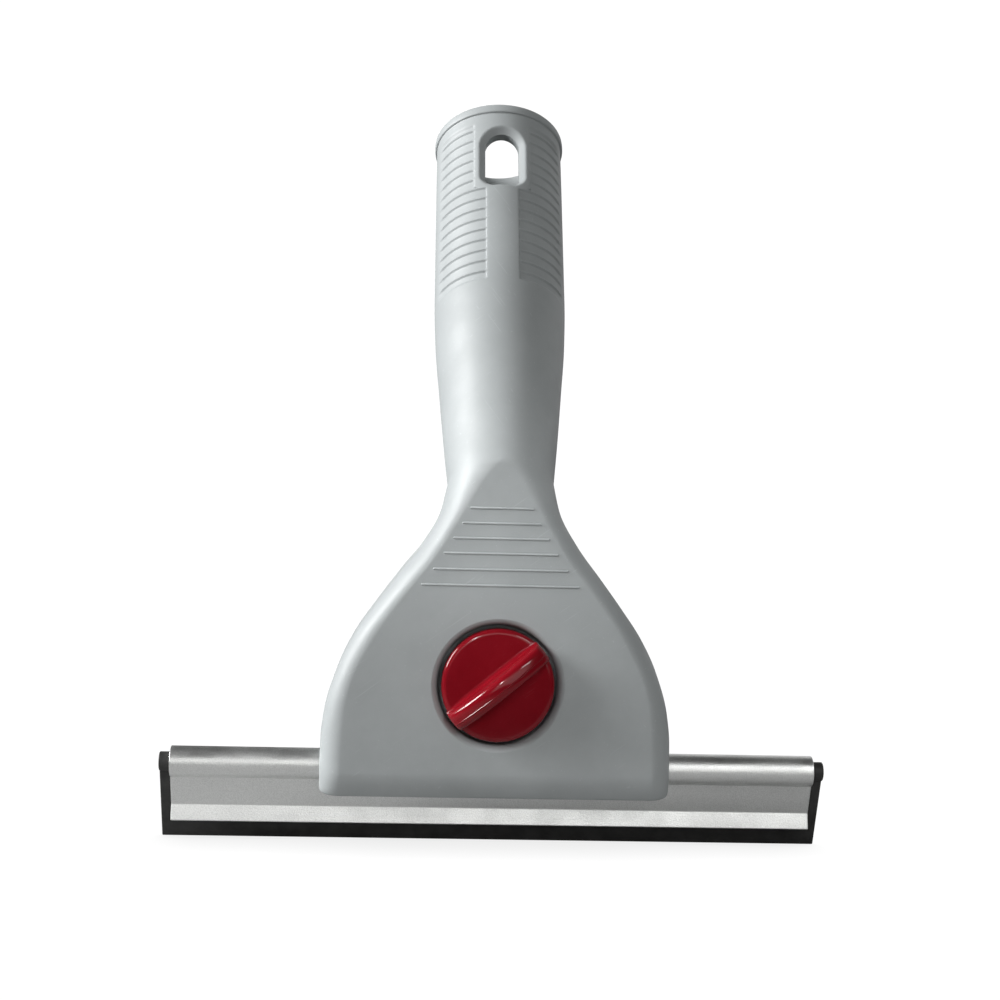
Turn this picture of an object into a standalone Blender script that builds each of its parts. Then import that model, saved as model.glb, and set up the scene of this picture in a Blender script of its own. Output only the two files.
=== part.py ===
"""Window squeegee with a screw clamp.

Metres, +Z up, X along the blade, and the head's flat face looks along -Y. Inside the script the head's own
frame is used: its origin is where the knob's axis meets the flat face, y is the depth behind that face.
The assembly is then placed so that the world origin is where a nail bears in the hang slot.
"""
from math import atan2, cos, pi, radians, sin, sqrt

import bmesh
import bpy
import numpy as np
from mathutils import Vector

# Running gap between pieces, and how far a cutter runs past what it cuts
CLEARANCE = 0.0003
OVERRUN = 0.004

# Rubber blade: a round bulb along the top and a flat strip below it
BLADE_LENGTH = 0.150
BLADE_REACH = 0.0195
BLADE_LEAN = radians(24.2)
BULB_DIAMETER = 0.0043
RUBBER_THICKNESS = 0.0016

# Aluminium channel: a bead round the bulb, a web of two walls, and two lips that flare out
RUBBER_GAP = 0.00025
CHANNEL_WALL = 0.0011
RUBBER_OVERHANG = 0.0025
WEB_REACH = 0.0096
LIP_LENGTH = 0.0030
LIP_SPREAD = 0.0022
BAR_LENGTH = BLADE_LENGTH - 2 * RUBBER_OVERHANG
BEAD_BORE = BULB_DIAMETER / 2 + RUBBER_GAP
BEAD_RADIUS = BEAD_BORE + CHANNEL_WALL
WEB_BORE = RUBBER_THICKNESS / 2 + RUBBER_GAP
WEB_HALF = WEB_BORE + CHANNEL_WALL

# Knob: a disc with a finger rib across it, sunk in a round recess
KNOB_DIAMETER = 0.0252
KNOB_THICKNESS = 0.0049
KNOB_EDGE = 0.0012
KNOB_SINK = 0.0001
KNOB_GAP = 0.0008
RECESS_FILLET = 0.0016
FINGER_WIDTH = 0.0056
FINGER_HEIGHT = 0.0066
FINGER_EDGE = 0.0014
FINGER_END = 0.0027
FINGER_INSET = 0.0002
FINGER_ANGLE = radians(39.5)
RECESS_RADIUS = KNOB_DIAMETER / 2 + KNOB_GAP

# Clamp bolt, its washer and ring, and the nut in the jaw
BOLT_DIAMETER = 0.0059
BOLT_HEAD_FLATS = 0.0095
BOLT_HEAD_THICKNESS = 0.0024
BOLT_TIP = 0.0008
GROOVE_DEPTH = 0.0007
WASHER_DIAMETER = 0.0140
WASHER_THICKNESS = 0.0008
RING_DIAMETER = 0.0100
RING_THICKNESS = 0.0008
RING_OPENING = radians(70)
NUT_FLATS = 0.0100
NUT_THICKNESS = 0.0050
JAW_TRAVEL = 0.004

# Head: front wall at the bar, wall round the recess, shell and floor
SADDLE_WALL = 0.0057
BRIDGE_WALL = 0.0021
RECESS_WALL = 0.0013
FLOOR_THICKNESS = 0.0024
SHELL_WALL = 0.0028
HEAD_WIDTH = 0.0784
HEAD_SKIRT = 0.0061
FACE_APEX = 0.050
FACE_HALF_WIDTH = 0.0344
FACE_ROUNDING = 0.0050
BOTTOM_CURVE_HEIGHT = 0.0059
BOTTOM_CURVE_DEPTH = 0.0025
BOTTOM_CORNER = 0.0013
BACK_CORNER = 0.0010

# Rear jaw
JAW_WALL = 0.0047
JAW_HEIGHT = 0.0260
JAW_SIDE_GAP = 0.0004
JAW_EDGE = 0.0010
BOSS_WALL = 0.0024
POCKET_FLOOR = 0.0028

# Grip
GRIP_LEAN = radians(30)
GRIP_LENGTH = 0.0995
SOCKET_DIAMETER = 0.0240
SOCKET_DEPTH = 0.0740
GRIP_WALL = 0.0036
NECK_DIAMETER = 0.0240
FLANGE_STEP = 0.0005
FLANGE_THICKNESS = 0.0027
MOUTH_ROUNDING = 0.0009
SLOT_WIDTH = 0.0080
SLOT_ROUNDING = 0.0026
SLOT_START = 0.0093
SLOT_LENGTH = 0.0153
GRIP_RADIUS = SOCKET_DIAMETER / 2 + GRIP_WALL
NECK_RADIUS = NECK_DIAMETER / 2

# Shares along the head's side: height from the bottom edge to the neck, and width from the neck's to the head's
OUTLINE_SHARES = ((0.0, 1.0), (0.18, 0.995), (0.28, 0.967), (0.42, 0.86), (0.52, 0.735), (0.61, 0.58),
                  (0.71, 0.393), (0.81, 0.200), (0.90, 0.060), (1.0, 0.0))
# Shares along the flat face's edge: height from the bottom edge to the apex, and half-width
FACE_SHARES = ((0.0, 1.0), (0.24, 0.98), (0.34, 0.936), (0.47, 0.80), (0.59, 0.62), (0.705, 0.425),
               (0.81, 0.285), (0.88, 0.195), (0.94, 0.116), (1.0, 0.0))
# Shares along the grip: length from the neck to the mouth, and radius from the neck's to the grip's
GRIP_SHARES = ((0.0, 0.0), (0.12, 0.32), (0.25, 0.62), (0.38, 0.90), (0.50, 1.0), (0.80, 1.0), (1.0, 0.98))

# Places that follow, in the head's frame: depth behind the face, and height over the knob's axis
BAR_DEPTH = SADDLE_WALL + CLEARANCE + BEAD_RADIUS
BAR_HEIGHT = -(RECESS_RADIUS + BRIDGE_WALL + CLEARANCE + BEAD_RADIUS)
HEAD_BOTTOM = BAR_HEIGHT - HEAD_SKIRT
HEAD_DEPTH = BAR_DEPTH + BEAD_RADIUS + CLEARANCE + JAW_WALL
KNOB_BACK = KNOB_SINK + KNOB_THICKNESS
WASHER_FRONT = KNOB_BACK + CLEARANCE
FLOOR_FRONT = WASHER_FRONT + WASHER_THICKNESS + CLEARANCE
FLOOR_BACK = FLOOR_FRONT + FLOOR_THICKNESS
RING_FRONT = FLOOR_BACK + CLEARANCE
PLATE_FRONT = RING_FRONT + RING_THICKNESS + CLEARANCE
SPLIT_DEPTH = BAR_DEPTH
SPLIT_HEIGHT = BAR_HEIGHT + BEAD_RADIUS + CLEARANCE + BRIDGE_WALL / 2
NUT_FRONT = PLATE_FRONT + POCKET_FLOOR + CLEARANCE
NUT_BACK = NUT_FRONT + NUT_THICKNESS
BOLT_END = NUT_BACK + JAW_TRAVEL
BOSS_RADIUS = NUT_FLATS / sqrt(3) + CLEARANCE + BOSS_WALL
BEND_START = JAW_HEIGHT
NECK_DEPTH = NECK_RADIUS * cos(GRIP_LEAN)
NECK_HEIGHT = FACE_APEX - NECK_RADIUS * sin(GRIP_LEAN)

# Counts of segments
CORNER_STEPS = 8
ROUND_STEPS = 48
BEAD_STEPS = 32


def clear_scene():
    """Empties the scene."""
    for item in list(bpy.data.objects):
        bpy.data.objects.remove(item, do_unlink=True)


def make_material(name, colour, roughness, metallic=0.0, coat=0.0):
    """A Principled material of one colour."""
    material = bpy.data.materials.new(name)
    material.use_nodes = True
    shader = material.node_tree.nodes["Principled BSDF"]
    shader.inputs["Base Color"].default_value = (*colour, 1.0)
    shader.inputs["Roughness"].default_value = roughness
    shader.inputs["Metallic"].default_value = metallic
    shader.inputs["Coat Weight"].default_value = coat
    return material


def make_empty(name, parent=None, place=(0.0, 0.0, 0.0), turn=(0.0, 0.0, 0.0)):
    """An empty that carries what is on one axis."""
    empty = bpy.data.objects.new(name, None)
    bpy.context.collection.objects.link(empty)
    empty.parent = parent
    empty.location = place
    empty.rotation_euler = turn
    return empty


def make_solid(name, points, faces, parent, material=None, smooth_angle=radians(30)):
    """A closed mesh object with its faces turned outward."""
    mesh = bpy.data.meshes.new(name)
    shape = bmesh.new()
    corners = [shape.verts.new(point) for point in points]
    for face in faces:
        shape.faces.new([corners[index] for index in face])
    bmesh.ops.remove_doubles(shape, verts=shape.verts, dist=CLEARANCE / 300)
    bmesh.ops.recalc_face_normals(shape, faces=shape.faces)
    shape.to_mesh(mesh)
    shape.free()
    mesh.shade_smooth()
    mesh.set_sharp_from_angle(angle=smooth_angle)
    item = bpy.data.objects.new(name, mesh)
    bpy.context.collection.objects.link(item)
    item.parent = parent
    if material:
        mesh.materials.append(material)
    return item


def hide_tool(item):
    """Marks an object as a cutter or a guide."""
    item.hide_render = True
    item.display_type = 'WIRE'
    return item


def combine(item, tool, operation):
    """Cuts or joins a tool with an object, as a modifier."""
    modifier = item.modifiers.new(tool.name, 'BOOLEAN')
    modifier.operation = operation
    modifier.solver = 'EXACT'
    modifier.object = hide_tool(tool)


def add_bevel(item, width, segments=2, angle=radians(40)):
    """Rounds an object's sharp edges."""
    bevel = item.modifiers.new("edges", 'BEVEL')
    bevel.width = width
    bevel.segments = segments
    bevel.limit_method = 'ANGLE'
    bevel.angle_limit = angle
    return bevel


def ring_faces(rows, columns, closed_rows=False):
    """Faces between rows of points that each close on themselves."""
    faces = []
    for row in range(rows if closed_rows else rows - 1):
        after = (row + 1) % rows
        for column in range(columns):
            beside = (column + 1) % columns
            faces.append((row * columns + column, row * columns + beside,
                          after * columns + beside, after * columns + column))
    return faces


def turned(name, profile, parent, material=None, steps=ROUND_STEPS, closed=False):
    """A solid turned about local Y from (radius, y) points; a closed profile makes a ring."""
    angles = [2 * pi * step / steps for step in range(steps)]
    points = [(radius * cos(angle), y, radius * sin(angle)) for radius, y in profile for angle in angles]
    faces = ring_faces(len(profile), steps, closed)
    if not closed:
        faces.append(tuple(range(steps)))
        faces.append(tuple(range((len(profile) - 1) * steps, len(profile) * steps)))
    return make_solid(name, points, faces, parent, material)


def extruded(name, outline, start, end, axis, parent, material=None):
    """A prism of an outline: (y, z) points along X, (x, z) points along Y, or (x, y) points along Z."""
    place = {'X': lambda a, b, c: (c, a, b), 'Y': lambda a, b, c: (a, c, b), 'Z': lambda a, b, c: (a, b, c)}[axis]
    points = [place(a, b, along) for along in (start, end) for a, b in outline]
    count = len(outline)
    faces = ring_faces(2, count)
    faces.append(tuple(range(count)))
    faces.append(tuple(range(count, 2 * count)))
    return make_solid(name, points, faces, parent, material)


def box(name, low, high, parent, material=None):
    """A block between two corners."""
    outline = [(low[0], low[2]), (high[0], low[2]), (high[0], high[2]), (low[0], high[2])]
    return extruded(name, outline, low[1], high[1], 'Y', parent, material)


def hexagon(flats):
    """Six corners of a hexagon with the given width across its flats."""
    radius = flats / sqrt(3)
    return [(radius * cos(pi / 3 * step), radius * sin(pi / 3 * step)) for step in range(6)]


def arc(centre, radius, start, end, steps):
    """Points along a round arc, both ends included."""
    angles = np.linspace(start, end, steps + 1)
    return [(centre[0] + radius * cos(angle), centre[1] + radius * sin(angle)) for angle in angles]


def smooth_curve(table, share):
    """Reads a table of shares with a smooth curve that never overshoots (Fritsch and Carlson's slopes)."""
    places = np.array([row[0] for row in table])
    values = np.array([row[1] for row in table])
    widths = np.diff(places)
    slopes = np.diff(values) / widths
    tangents = np.zeros(len(table))
    tangents[0] = slopes[0]
    tangents[-1] = slopes[-1]
    for index in range(1, len(table) - 1):
        before, after = slopes[index - 1], slopes[index]
        if before * after > 0:
            tangents[index] = 2 * before * after / (before + after)
    share = min(max(share, places[0]), places[-1])
    index = min(int(np.searchsorted(places, share, side='right')) - 1, len(widths) - 1)
    part = (share - places[index]) / widths[index]
    low, high = values[index], values[index + 1]
    rise = widths[index] * tangents[index], widths[index] * tangents[index + 1]
    return ((1 + 2 * part) * (1 - part) ** 2 * low + part * (1 - part) ** 2 * rise[0]
            + part ** 2 * (3 - 2 * part) * high + part ** 2 * (part - 1) * rise[1])


def ease(value, start, end):
    """Rises smoothly from 0 at start to 1 at end."""
    part = min(max((value - start) / (end - start), 0.0), 1.0)
    return part * part * (3 - 2 * part)


def blend(low, high, share):
    """A value between two others."""
    return low + (high - low) * share


def head_half_width(height):
    """Half of the head's width at a height over the knob's axis."""
    share = (height - HEAD_BOTTOM) / (NECK_HEIGHT - HEAD_BOTTOM)
    return blend(NECK_RADIUS, HEAD_WIDTH / 2, smooth_curve(OUTLINE_SHARES, share))


def face_half_width(height):
    """Half of the flat face's width at a height over the knob's axis."""
    share = (height - HEAD_BOTTOM) / (FACE_APEX - HEAD_BOTTOM)
    return FACE_HALF_WIDTH * smooth_curve(FACE_SHARES, share)


def section(half_width, flat_half, depth, front_drop, back_side, back_drop):
    """One closed section: (x, depth behind its front) points with elliptic corners.

    The front is flat as far as flat_half, then rounds off over front_drop; the back's corners are
    back_side wide and back_drop deep. On a round grip the flats shrink to nothing.
    """
    right = [(flat_half * share / 2, 0.0) for share in range(2)]
    for step in range(CORNER_STEPS + 1):
        angle = pi / 2 * step / CORNER_STEPS
        right.append((flat_half + (half_width - flat_half) * sin(angle), front_drop * (1 - cos(angle))))
    for step in range(CORNER_STEPS + 1):
        angle = pi / 2 * step / CORNER_STEPS
        right.append((half_width - back_side * (1 - cos(angle)), depth - back_drop * (1 - sin(angle))))
    right.append(((half_width - back_side) / 2, depth))
    right.append((0.0, depth))
    left = [(-x, y) for x, y in reversed(right[1:-1])]
    return right + left


def placed_section(points, front_depth, front_height, lean):
    """Puts a section in the head's frame, leaning back about its front."""
    return [(x, front_depth + inward * cos(lean), front_height - inward * sin(lean)) for x, inward in points]


def head_section(height):
    """The handle's section whose front is at a height on the flat face."""
    lean = GRIP_LEAN * ease(height, BEND_START, FACE_APEX)
    round_share = ease(height, BEND_START - SHELL_WALL, FACE_APEX)
    low = max(HEAD_BOTTOM + BOTTOM_CURVE_HEIGHT - height, 0.0) / BOTTOM_CURVE_HEIGHT
    front = BOTTOM_CURVE_DEPTH * low * low
    depth = blend(HEAD_DEPTH, NECK_DIAMETER, ease(height, BEND_START - 2 * SHELL_WALL, FACE_APEX)) - front
    half_width = head_half_width(height - depth / 2 * sin(lean))
    corner = max(HEAD_BOTTOM + BOTTOM_CORNER - height, 0.0)
    half_width -= BOTTOM_CORNER - sqrt(BOTTOM_CORNER ** 2 - corner ** 2)
    flat_half = min(face_half_width(height), half_width - BOTTOM_CORNER)
    points = section(half_width, flat_half, depth,
                     blend(FACE_ROUNDING, depth / 2, ease(height, 0.0, FACE_APEX)),
                     blend(BACK_CORNER, half_width, round_share),
                     blend(BACK_CORNER, depth / 2, round_share))
    return placed_section(points, front, height, lean)


def grip_radius(distance):
    """The grip's radius at a distance from the neck."""
    return blend(NECK_RADIUS, GRIP_RADIUS, smooth_curve(GRIP_SHARES, distance / GRIP_LENGTH))


def grip_section(distance, radius):
    """A round section of the grip at a distance along its axis from the neck."""
    points = section(radius, 0.0, 2 * radius, radius, radius, radius)
    along = NECK_DEPTH + distance * sin(GRIP_LEAN), NECK_HEIGHT + distance * cos(GRIP_LEAN)
    return placed_section(points, along[0] - radius * cos(GRIP_LEAN), along[1] + radius * sin(GRIP_LEAN), GRIP_LEAN)


def handle_rings():
    """All sections of the handle, from the head's bottom edge to the grip's mouth."""
    heights = [HEAD_BOTTOM + BOTTOM_CORNER * (1 - cos(pi / 6 * step)) for step in range(4)]
    curve_top = HEAD_BOTTOM + BOTTOM_CURVE_HEIGHT
    heights += list(np.linspace(heights[-1], curve_top, 5)[1:])
    heights += list(np.linspace(curve_top, 0.0, 6)[1:])
    heights += list(np.linspace(0.0, FACE_APEX, 19)[1:])
    rings = [head_section(height) for height in heights]
    body = GRIP_LENGTH - FLANGE_THICKNESS - FLANGE_STEP
    for share in (0.06, 0.12, 0.18, 0.25, 0.31, 0.38, 0.44, 0.5, 0.6, 0.7, 0.8, 0.9, 1.0):
        rings.append(grip_section(body * share, grip_radius(body * share)))
    flange = grip_radius(GRIP_LENGTH) + FLANGE_STEP
    rings.append(grip_section(GRIP_LENGTH - FLANGE_THICKNESS, flange))
    rings.append(grip_section(GRIP_LENGTH - FLANGE_STEP, flange))
    rings.append(grip_section(GRIP_LENGTH, flange - FLANGE_STEP))
    return rings


def hollow_outline(low, high, gap):
    """The outline of the head's hollow between two heights, drawn in by a gap: (x, z) points."""
    right = [(head_half_width(height) - SHELL_WALL - gap, height) for height in np.linspace(low, high, 14)]
    return right + [(-x, z) for x, z in reversed(right)]


def bar_space(name, bar_axis):
    """The space that the bar needs in the clamp: its bead and web with the clearance round them."""
    radius = BEAD_RADIUS + CLEARANCE
    half = WEB_HALF + CLEARANCE
    turn = atan2(half, sqrt(radius ** 2 - half ** 2))
    outline = arc((0.0, 0.0), radius, -pi / 2 + turn, 3 * pi / 2 - turn, BEAD_STEPS)
    outline += [(-half, -BLADE_REACH), (half, -BLADE_REACH)]
    reach = HEAD_WIDTH / 2 + OVERRUN
    return extruded(name, outline, -reach, reach, 'X', bar_axis)


def slot_outline(grow):
    """The hang slot seen from the front, as (x, length along the grip): an arched top and a rounded foot."""
    half = SLOT_WIDTH / 2 + grow
    top = GRIP_LENGTH - SLOT_START + grow
    foot = GRIP_LENGTH - SLOT_START - SLOT_LENGTH - grow
    corner = half / 2
    outline = arc((0.0, top - half), half, 0.0, pi, 12)
    outline += arc((corner - half, foot + corner), corner, pi, 3 * pi / 2, 4)
    outline += arc((half - corner, foot + corner), corner, -pi / 2, 0.0, 4)
    return outline


def slot_cutter(grip_axis):
    """Cuts the hang slot through both walls of the grip, with its edges rounded outside."""
    levels = [(GRIP_RADIUS + OVERRUN, SLOT_ROUNDING)]
    for step in range(4):
        angle = pi / 6 * step
        levels.append((GRIP_RADIUS - SLOT_ROUNDING * sin(angle), SLOT_ROUNDING * (1 - sin(angle))))
    levels += [(-height, grow) for height, grow in reversed(levels)]
    points = [(x, y, height) for height, grow in levels for x, y in slot_outline(grow)]
    count = len(slot_outline(0.0))
    faces = ring_faces(len(levels), count)
    faces.append(tuple(range(count)))
    faces.append(tuple(range((len(levels) - 1) * count, len(levels) * count)))
    return make_solid("slot_cutter", points, faces, grip_axis)


def socket_cutter(grip_axis):
    """Cuts the socket that takes a pole, with its mouth rounded."""
    radius = SOCKET_DIAMETER / 2
    foot = GRIP_LENGTH - SOCKET_DEPTH
    profile = [(radius - MOUTH_ROUNDING, foot), (radius, foot + MOUTH_ROUNDING),
               (radius, GRIP_LENGTH - MOUTH_ROUNDING)]
    for angle in (pi / 6, pi / 3):
        profile.append((radius + MOUTH_ROUNDING * (1 - cos(angle)),
                        GRIP_LENGTH - MOUTH_ROUNDING * (1 - sin(angle))))
    profile.append((radius + MOUTH_ROUNDING, GRIP_LENGTH + OVERRUN))
    return turned("socket_cutter", profile, grip_axis, steps=CORNER_STEPS * 4)


def recess_cutter(frame):
    """Cuts the round recess of the knob, with its rim rounded."""
    profile = [(RECESS_RADIUS + RECESS_FILLET, -OVERRUN)]
    for angle in (5 * pi / 12, pi / 4, pi / 12, 0.0):
        profile.append((RECESS_RADIUS + RECESS_FILLET * (1 - cos(angle)), RECESS_FILLET * (1 - sin(angle))))
    profile.append((RECESS_RADIUS, FLOOR_FRONT))
    return turned("recess_cutter", profile, frame)


def make_handle(frame, grip_axis, bar_axis, material):
    """The one-piece moulding: grip, neck and head."""
    rings = handle_rings()
    count = len(rings[0])
    faces = ring_faces(len(rings), count)
    faces.append(tuple(range(count)))
    faces.append(tuple(range((len(rings) - 1) * count, len(rings) * count)))
    handle = make_solid("handle", [point for ring in rings for point in ring], faces, frame, material)

    # The hollow round the knob's cup, and the open hollow behind the cup's floor where the jaw lies
    hollow_top = JAW_HEIGHT + CLEARANCE
    front_hollow = extruded("front_hollow_cutter", hollow_outline(SPLIT_HEIGHT + BRIDGE_WALL, hollow_top, 0.0),
                            SHELL_WALL, FLOOR_BACK + CLEARANCE, 'Y', frame)
    cup = [(RECESS_RADIUS + RECESS_WALL, SHELL_WALL - OVERRUN), (RECESS_RADIUS + RECESS_WALL,
                                                                FLOOR_BACK + OVERRUN)]
    combine(front_hollow, turned("cup_cutter", cup, frame), 'DIFFERENCE')
    combine(handle, front_hollow, 'DIFFERENCE')
    combine(handle, extruded("back_hollow_cutter", hollow_outline(SPLIT_HEIGHT, hollow_top, 0.0), FLOOR_BACK,
                             HEAD_DEPTH + OVERRUN, 'Y', frame), 'DIFFERENCE')

    # Below the split the side walls stop at the bar, so that the jaw and the bar can leave
    side = HEAD_WIDTH / 2 + OVERRUN
    combine(handle, box("split_cutter", (-side, SPLIT_DEPTH - CLEARANCE / 2, HEAD_BOTTOM - OVERRUN),
                        (side, HEAD_DEPTH + OVERRUN, SPLIT_HEIGHT), frame), 'DIFFERENCE')
    combine(handle, bar_space("handle_bar_cutter", bar_axis), 'DIFFERENCE')
    combine(handle, recess_cutter(frame), 'DIFFERENCE')
    hole = BOLT_DIAMETER / 2 + CLEARANCE
    combine(handle, turned("floor_hole_cutter", [(hole, FLOOR_FRONT - OVERRUN / 2), (hole, FLOOR_BACK
                           + OVERRUN / 2)], frame, steps=ROUND_STEPS // 2), 'DIFFERENCE')
    combine(handle, socket_cutter(grip_axis), 'DIFFERENCE')
    combine(handle, slot_cutter(grip_axis), 'DIFFERENCE')
    return handle


def make_knob(knob_axis, material):
    """The clamp knob: a disc with an arched finger rib, and a hexagonal pocket for the bolt's head."""
    radius = KNOB_DIAMETER / 2
    profile = [(radius - KNOB_EDGE / 2, KNOB_BACK), (radius, KNOB_BACK - KNOB_EDGE / 2)]
    for angle in np.linspace(0.0, pi / 2, 5):
        profile.append((radius - KNOB_EDGE * (1 - cos(angle)), KNOB_SINK + KNOB_EDGE * (1 - sin(angle))))
    knob = turned("knob", profile, knob_axis, material)

    # The finger rib's arch is part of a circle through its two ends and its crown
    half = radius - FINGER_INSET
    rise = FINGER_HEIGHT - FINGER_END
    bow = (half ** 2 + rise ** 2) / (2 * rise)
    spread = atan2(half, bow - rise)
    arch = arc((0.0, KNOB_SINK - FINGER_HEIGHT + bow), bow, -pi / 2 - spread, -pi / 2 + spread, 20)
    root = KNOB_SINK + KNOB_THICKNESS / 3
    rib = extruded("finger_rib", [(-half, root)] + arch + [(half, root)], -FINGER_WIDTH / 2, FINGER_WIDTH / 2,
                   'Z', knob_axis)
    rib.rotation_euler = (0.0, -FINGER_ANGLE, 0.0)
    add_bevel(rib, FINGER_EDGE, 3, radians(60))
    combine(knob, rib, 'UNION')
    pocket = KNOB_BACK - BOLT_HEAD_THICKNESS - CLEARANCE
    combine(knob, extruded("bolt_pocket_cutter", hexagon(BOLT_HEAD_FLATS + 2 * CLEARANCE), pocket,
                           KNOB_BACK + OVERRUN, 'Y', knob_axis), 'DIFFERENCE')
    return knob


def make_clamp_bolt(knob_axis, material):
    """The bolt: a hexagonal head in the knob, and a shank with a groove for the ring."""
    radius = BOLT_DIAMETER / 2
    head_front = KNOB_BACK - BOLT_HEAD_THICKNESS
    bolt = extruded("clamp_bolt", hexagon(BOLT_HEAD_FLATS), head_front, KNOB_BACK, 'Y', knob_axis, material)
    groove = radius - GROOVE_DEPTH
    groove_front = RING_FRONT - CLEARANCE / 2
    groove_back = RING_FRONT + RING_THICKNESS + CLEARANCE / 2
    profile = [(radius, head_front + BOLT_HEAD_THICKNESS / 2), (radius, groove_front), (groove, groove_front),
               (groove, groove_back), (radius, groove_back), (radius, BOLT_END - BOLT_TIP),
               (radius - BOLT_TIP, BOLT_END)]
    combine(bolt, turned("shank", profile, knob_axis, steps=ROUND_STEPS // 2), 'UNION')
    return bolt


def make_thrust_washer(knob_axis, material):
    """The washer between the knob and the recess floor."""
    inner = BOLT_DIAMETER / 2 + CLEARANCE
    outer = WASHER_DIAMETER / 2
    back = WASHER_FRONT + WASHER_THICKNESS
    profile = [(inner, WASHER_FRONT), (outer, WASHER_FRONT), (outer, back), (inner, back)]
    return turned("thrust_washer", profile, knob_axis, material, ROUND_STEPS // 2, closed=True)


def make_retaining_ring(knob_axis, material):
    """The open ring in the bolt's groove behind the recess floor."""
    inner = BOLT_DIAMETER / 2 - GROOVE_DEPTH + CLEARANCE
    start = -pi / 2 + RING_OPENING / 2
    end = 3 * pi / 2 - RING_OPENING / 2
    outline = arc((0.0, 0.0), RING_DIAMETER / 2, start, end, 22)
    outline += list(reversed(arc((0.0, 0.0), inner, start, end, 22)))
    return extruded("retaining_ring", outline, RING_FRONT, RING_FRONT + RING_THICKNESS, 'Y', knob_axis, material)


def make_rear_jaw(jaw_axis, bar_axis, material):
    """The jaw: a plate in the head's hollow, a block behind the bar, and a boss that holds the nut."""
    block_top = SPLIT_HEIGHT - CLEARANCE
    plate = hollow_outline(block_top - BEAD_RADIUS / 2, JAW_HEIGHT, JAW_SIDE_GAP)
    jaw = extruded("rear_jaw", plate, PLATE_FRONT, HEAD_DEPTH, 'Y', jaw_axis, material)
    side = HEAD_WIDTH / 2
    block = box("jaw_block", (-side, SPLIT_DEPTH + CLEARANCE / 2, HEAD_BOTTOM), (side, HEAD_DEPTH, block_top),
                jaw_axis)
    add_bevel(block, JAW_EDGE)
    combine(jaw, block, 'UNION')
    boss_end = BOLT_END + CLEARANCE
    boss = [(BOSS_RADIUS, PLATE_FRONT + POCKET_FLOOR), (BOSS_RADIUS, boss_end - JAW_EDGE),
            (BOSS_RADIUS - JAW_EDGE, boss_end)]
    combine(jaw, turned("jaw_boss", boss, jaw_axis, steps=ROUND_STEPS // 2), 'UNION')
    combine(jaw, extruded("nut_pocket_cutter", hexagon(NUT_FLATS + 2 * CLEARANCE), NUT_FRONT - CLEARANCE,
                          boss_end + OVERRUN, 'Y', jaw_axis), 'DIFFERENCE')
    hole = BOLT_DIAMETER / 2 + CLEARANCE
    combine(jaw, turned("jaw_hole_cutter", [(hole, PLATE_FRONT - OVERRUN / 2), (hole, NUT_FRONT + OVERRUN / 2)],
                        jaw_axis, steps=ROUND_STEPS // 2), 'DIFFERENCE')
    combine(jaw, bar_space("jaw_bar_cutter", bar_axis), 'DIFFERENCE')
    return jaw


def make_jaw_nut(jaw_axis, material):
    """The hexagonal nut held in the jaw's boss."""
    nut = extruded("jaw_nut", hexagon(NUT_FLATS), NUT_FRONT, NUT_BACK, 'Y', jaw_axis, material)
    bore = BOLT_DIAMETER / 2 + CLEARANCE
    combine(nut, turned("nut_bore_cutter", [(bore, NUT_FRONT - OVERRUN / 2), (bore, NUT_BACK + OVERRUN / 2)],
                        jaw_axis, steps=ROUND_STEPS // 2), 'DIFFERENCE')
    return nut


def make_channel(bar_axis, material):
    """The aluminium channel: (y, z) section of bead, web and flared lips, run along X."""
    outer_turn = atan2(WEB_HALF, sqrt(BEAD_RADIUS ** 2 - WEB_HALF ** 2))
    inner_turn = atan2(WEB_BORE, sqrt(BEAD_BORE ** 2 - WEB_BORE ** 2))
    flare = sqrt(LIP_LENGTH ** 2 + LIP_SPREAD ** 2)
    shift = CHANNEL_WALL * (flare - LIP_LENGTH) / LIP_SPREAD
    tip_shift = CHANNEL_WALL * LIP_SPREAD / flare, CHANNEL_WALL * LIP_LENGTH / flare
    outer_lip = [(WEB_HALF, -WEB_REACH), (WEB_HALF + LIP_SPREAD, -WEB_REACH - LIP_LENGTH)]
    inner_lip = [(outer_lip[1][0] - tip_shift[1], outer_lip[1][1] - tip_shift[0]),
                 (WEB_BORE, -WEB_REACH - shift)]
    outer = arc((0.0, 0.0), BEAD_RADIUS, -pi / 2 + outer_turn, 3 * pi / 2 - outer_turn, BEAD_STEPS)
    inner = arc((0.0, 0.0), BEAD_BORE, 3 * pi / 2 - inner_turn, -pi / 2 + inner_turn, BEAD_STEPS)
    outline = outer + [(-y, z) for y, z in outer_lip] + [(-y, z) for y, z in inner_lip]
    outline += inner + list(reversed(inner_lip)) + list(reversed(outer_lip))
    return extruded("channel", outline, -BAR_LENGTH / 2, BAR_LENGTH / 2, 'X', bar_axis, material)


def make_rubber_blade(bar_axis, material):
    """The rubber: a round bulb and a flat strip that ends in a square working edge."""
    radius = BULB_DIAMETER / 2
    half = RUBBER_THICKNESS / 2
    turn = atan2(half, sqrt(radius ** 2 - half ** 2))
    outline = arc((0.0, 0.0), radius, -pi / 2 + turn, 3 * pi / 2 - turn, BEAD_STEPS)
    outline += [(-half, -BLADE_REACH), (half, -BLADE_REACH)]
    return extruded("rubber_blade", outline, -BLADE_LENGTH / 2, BLADE_LENGTH / 2, 'X', bar_axis, material)


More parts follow.
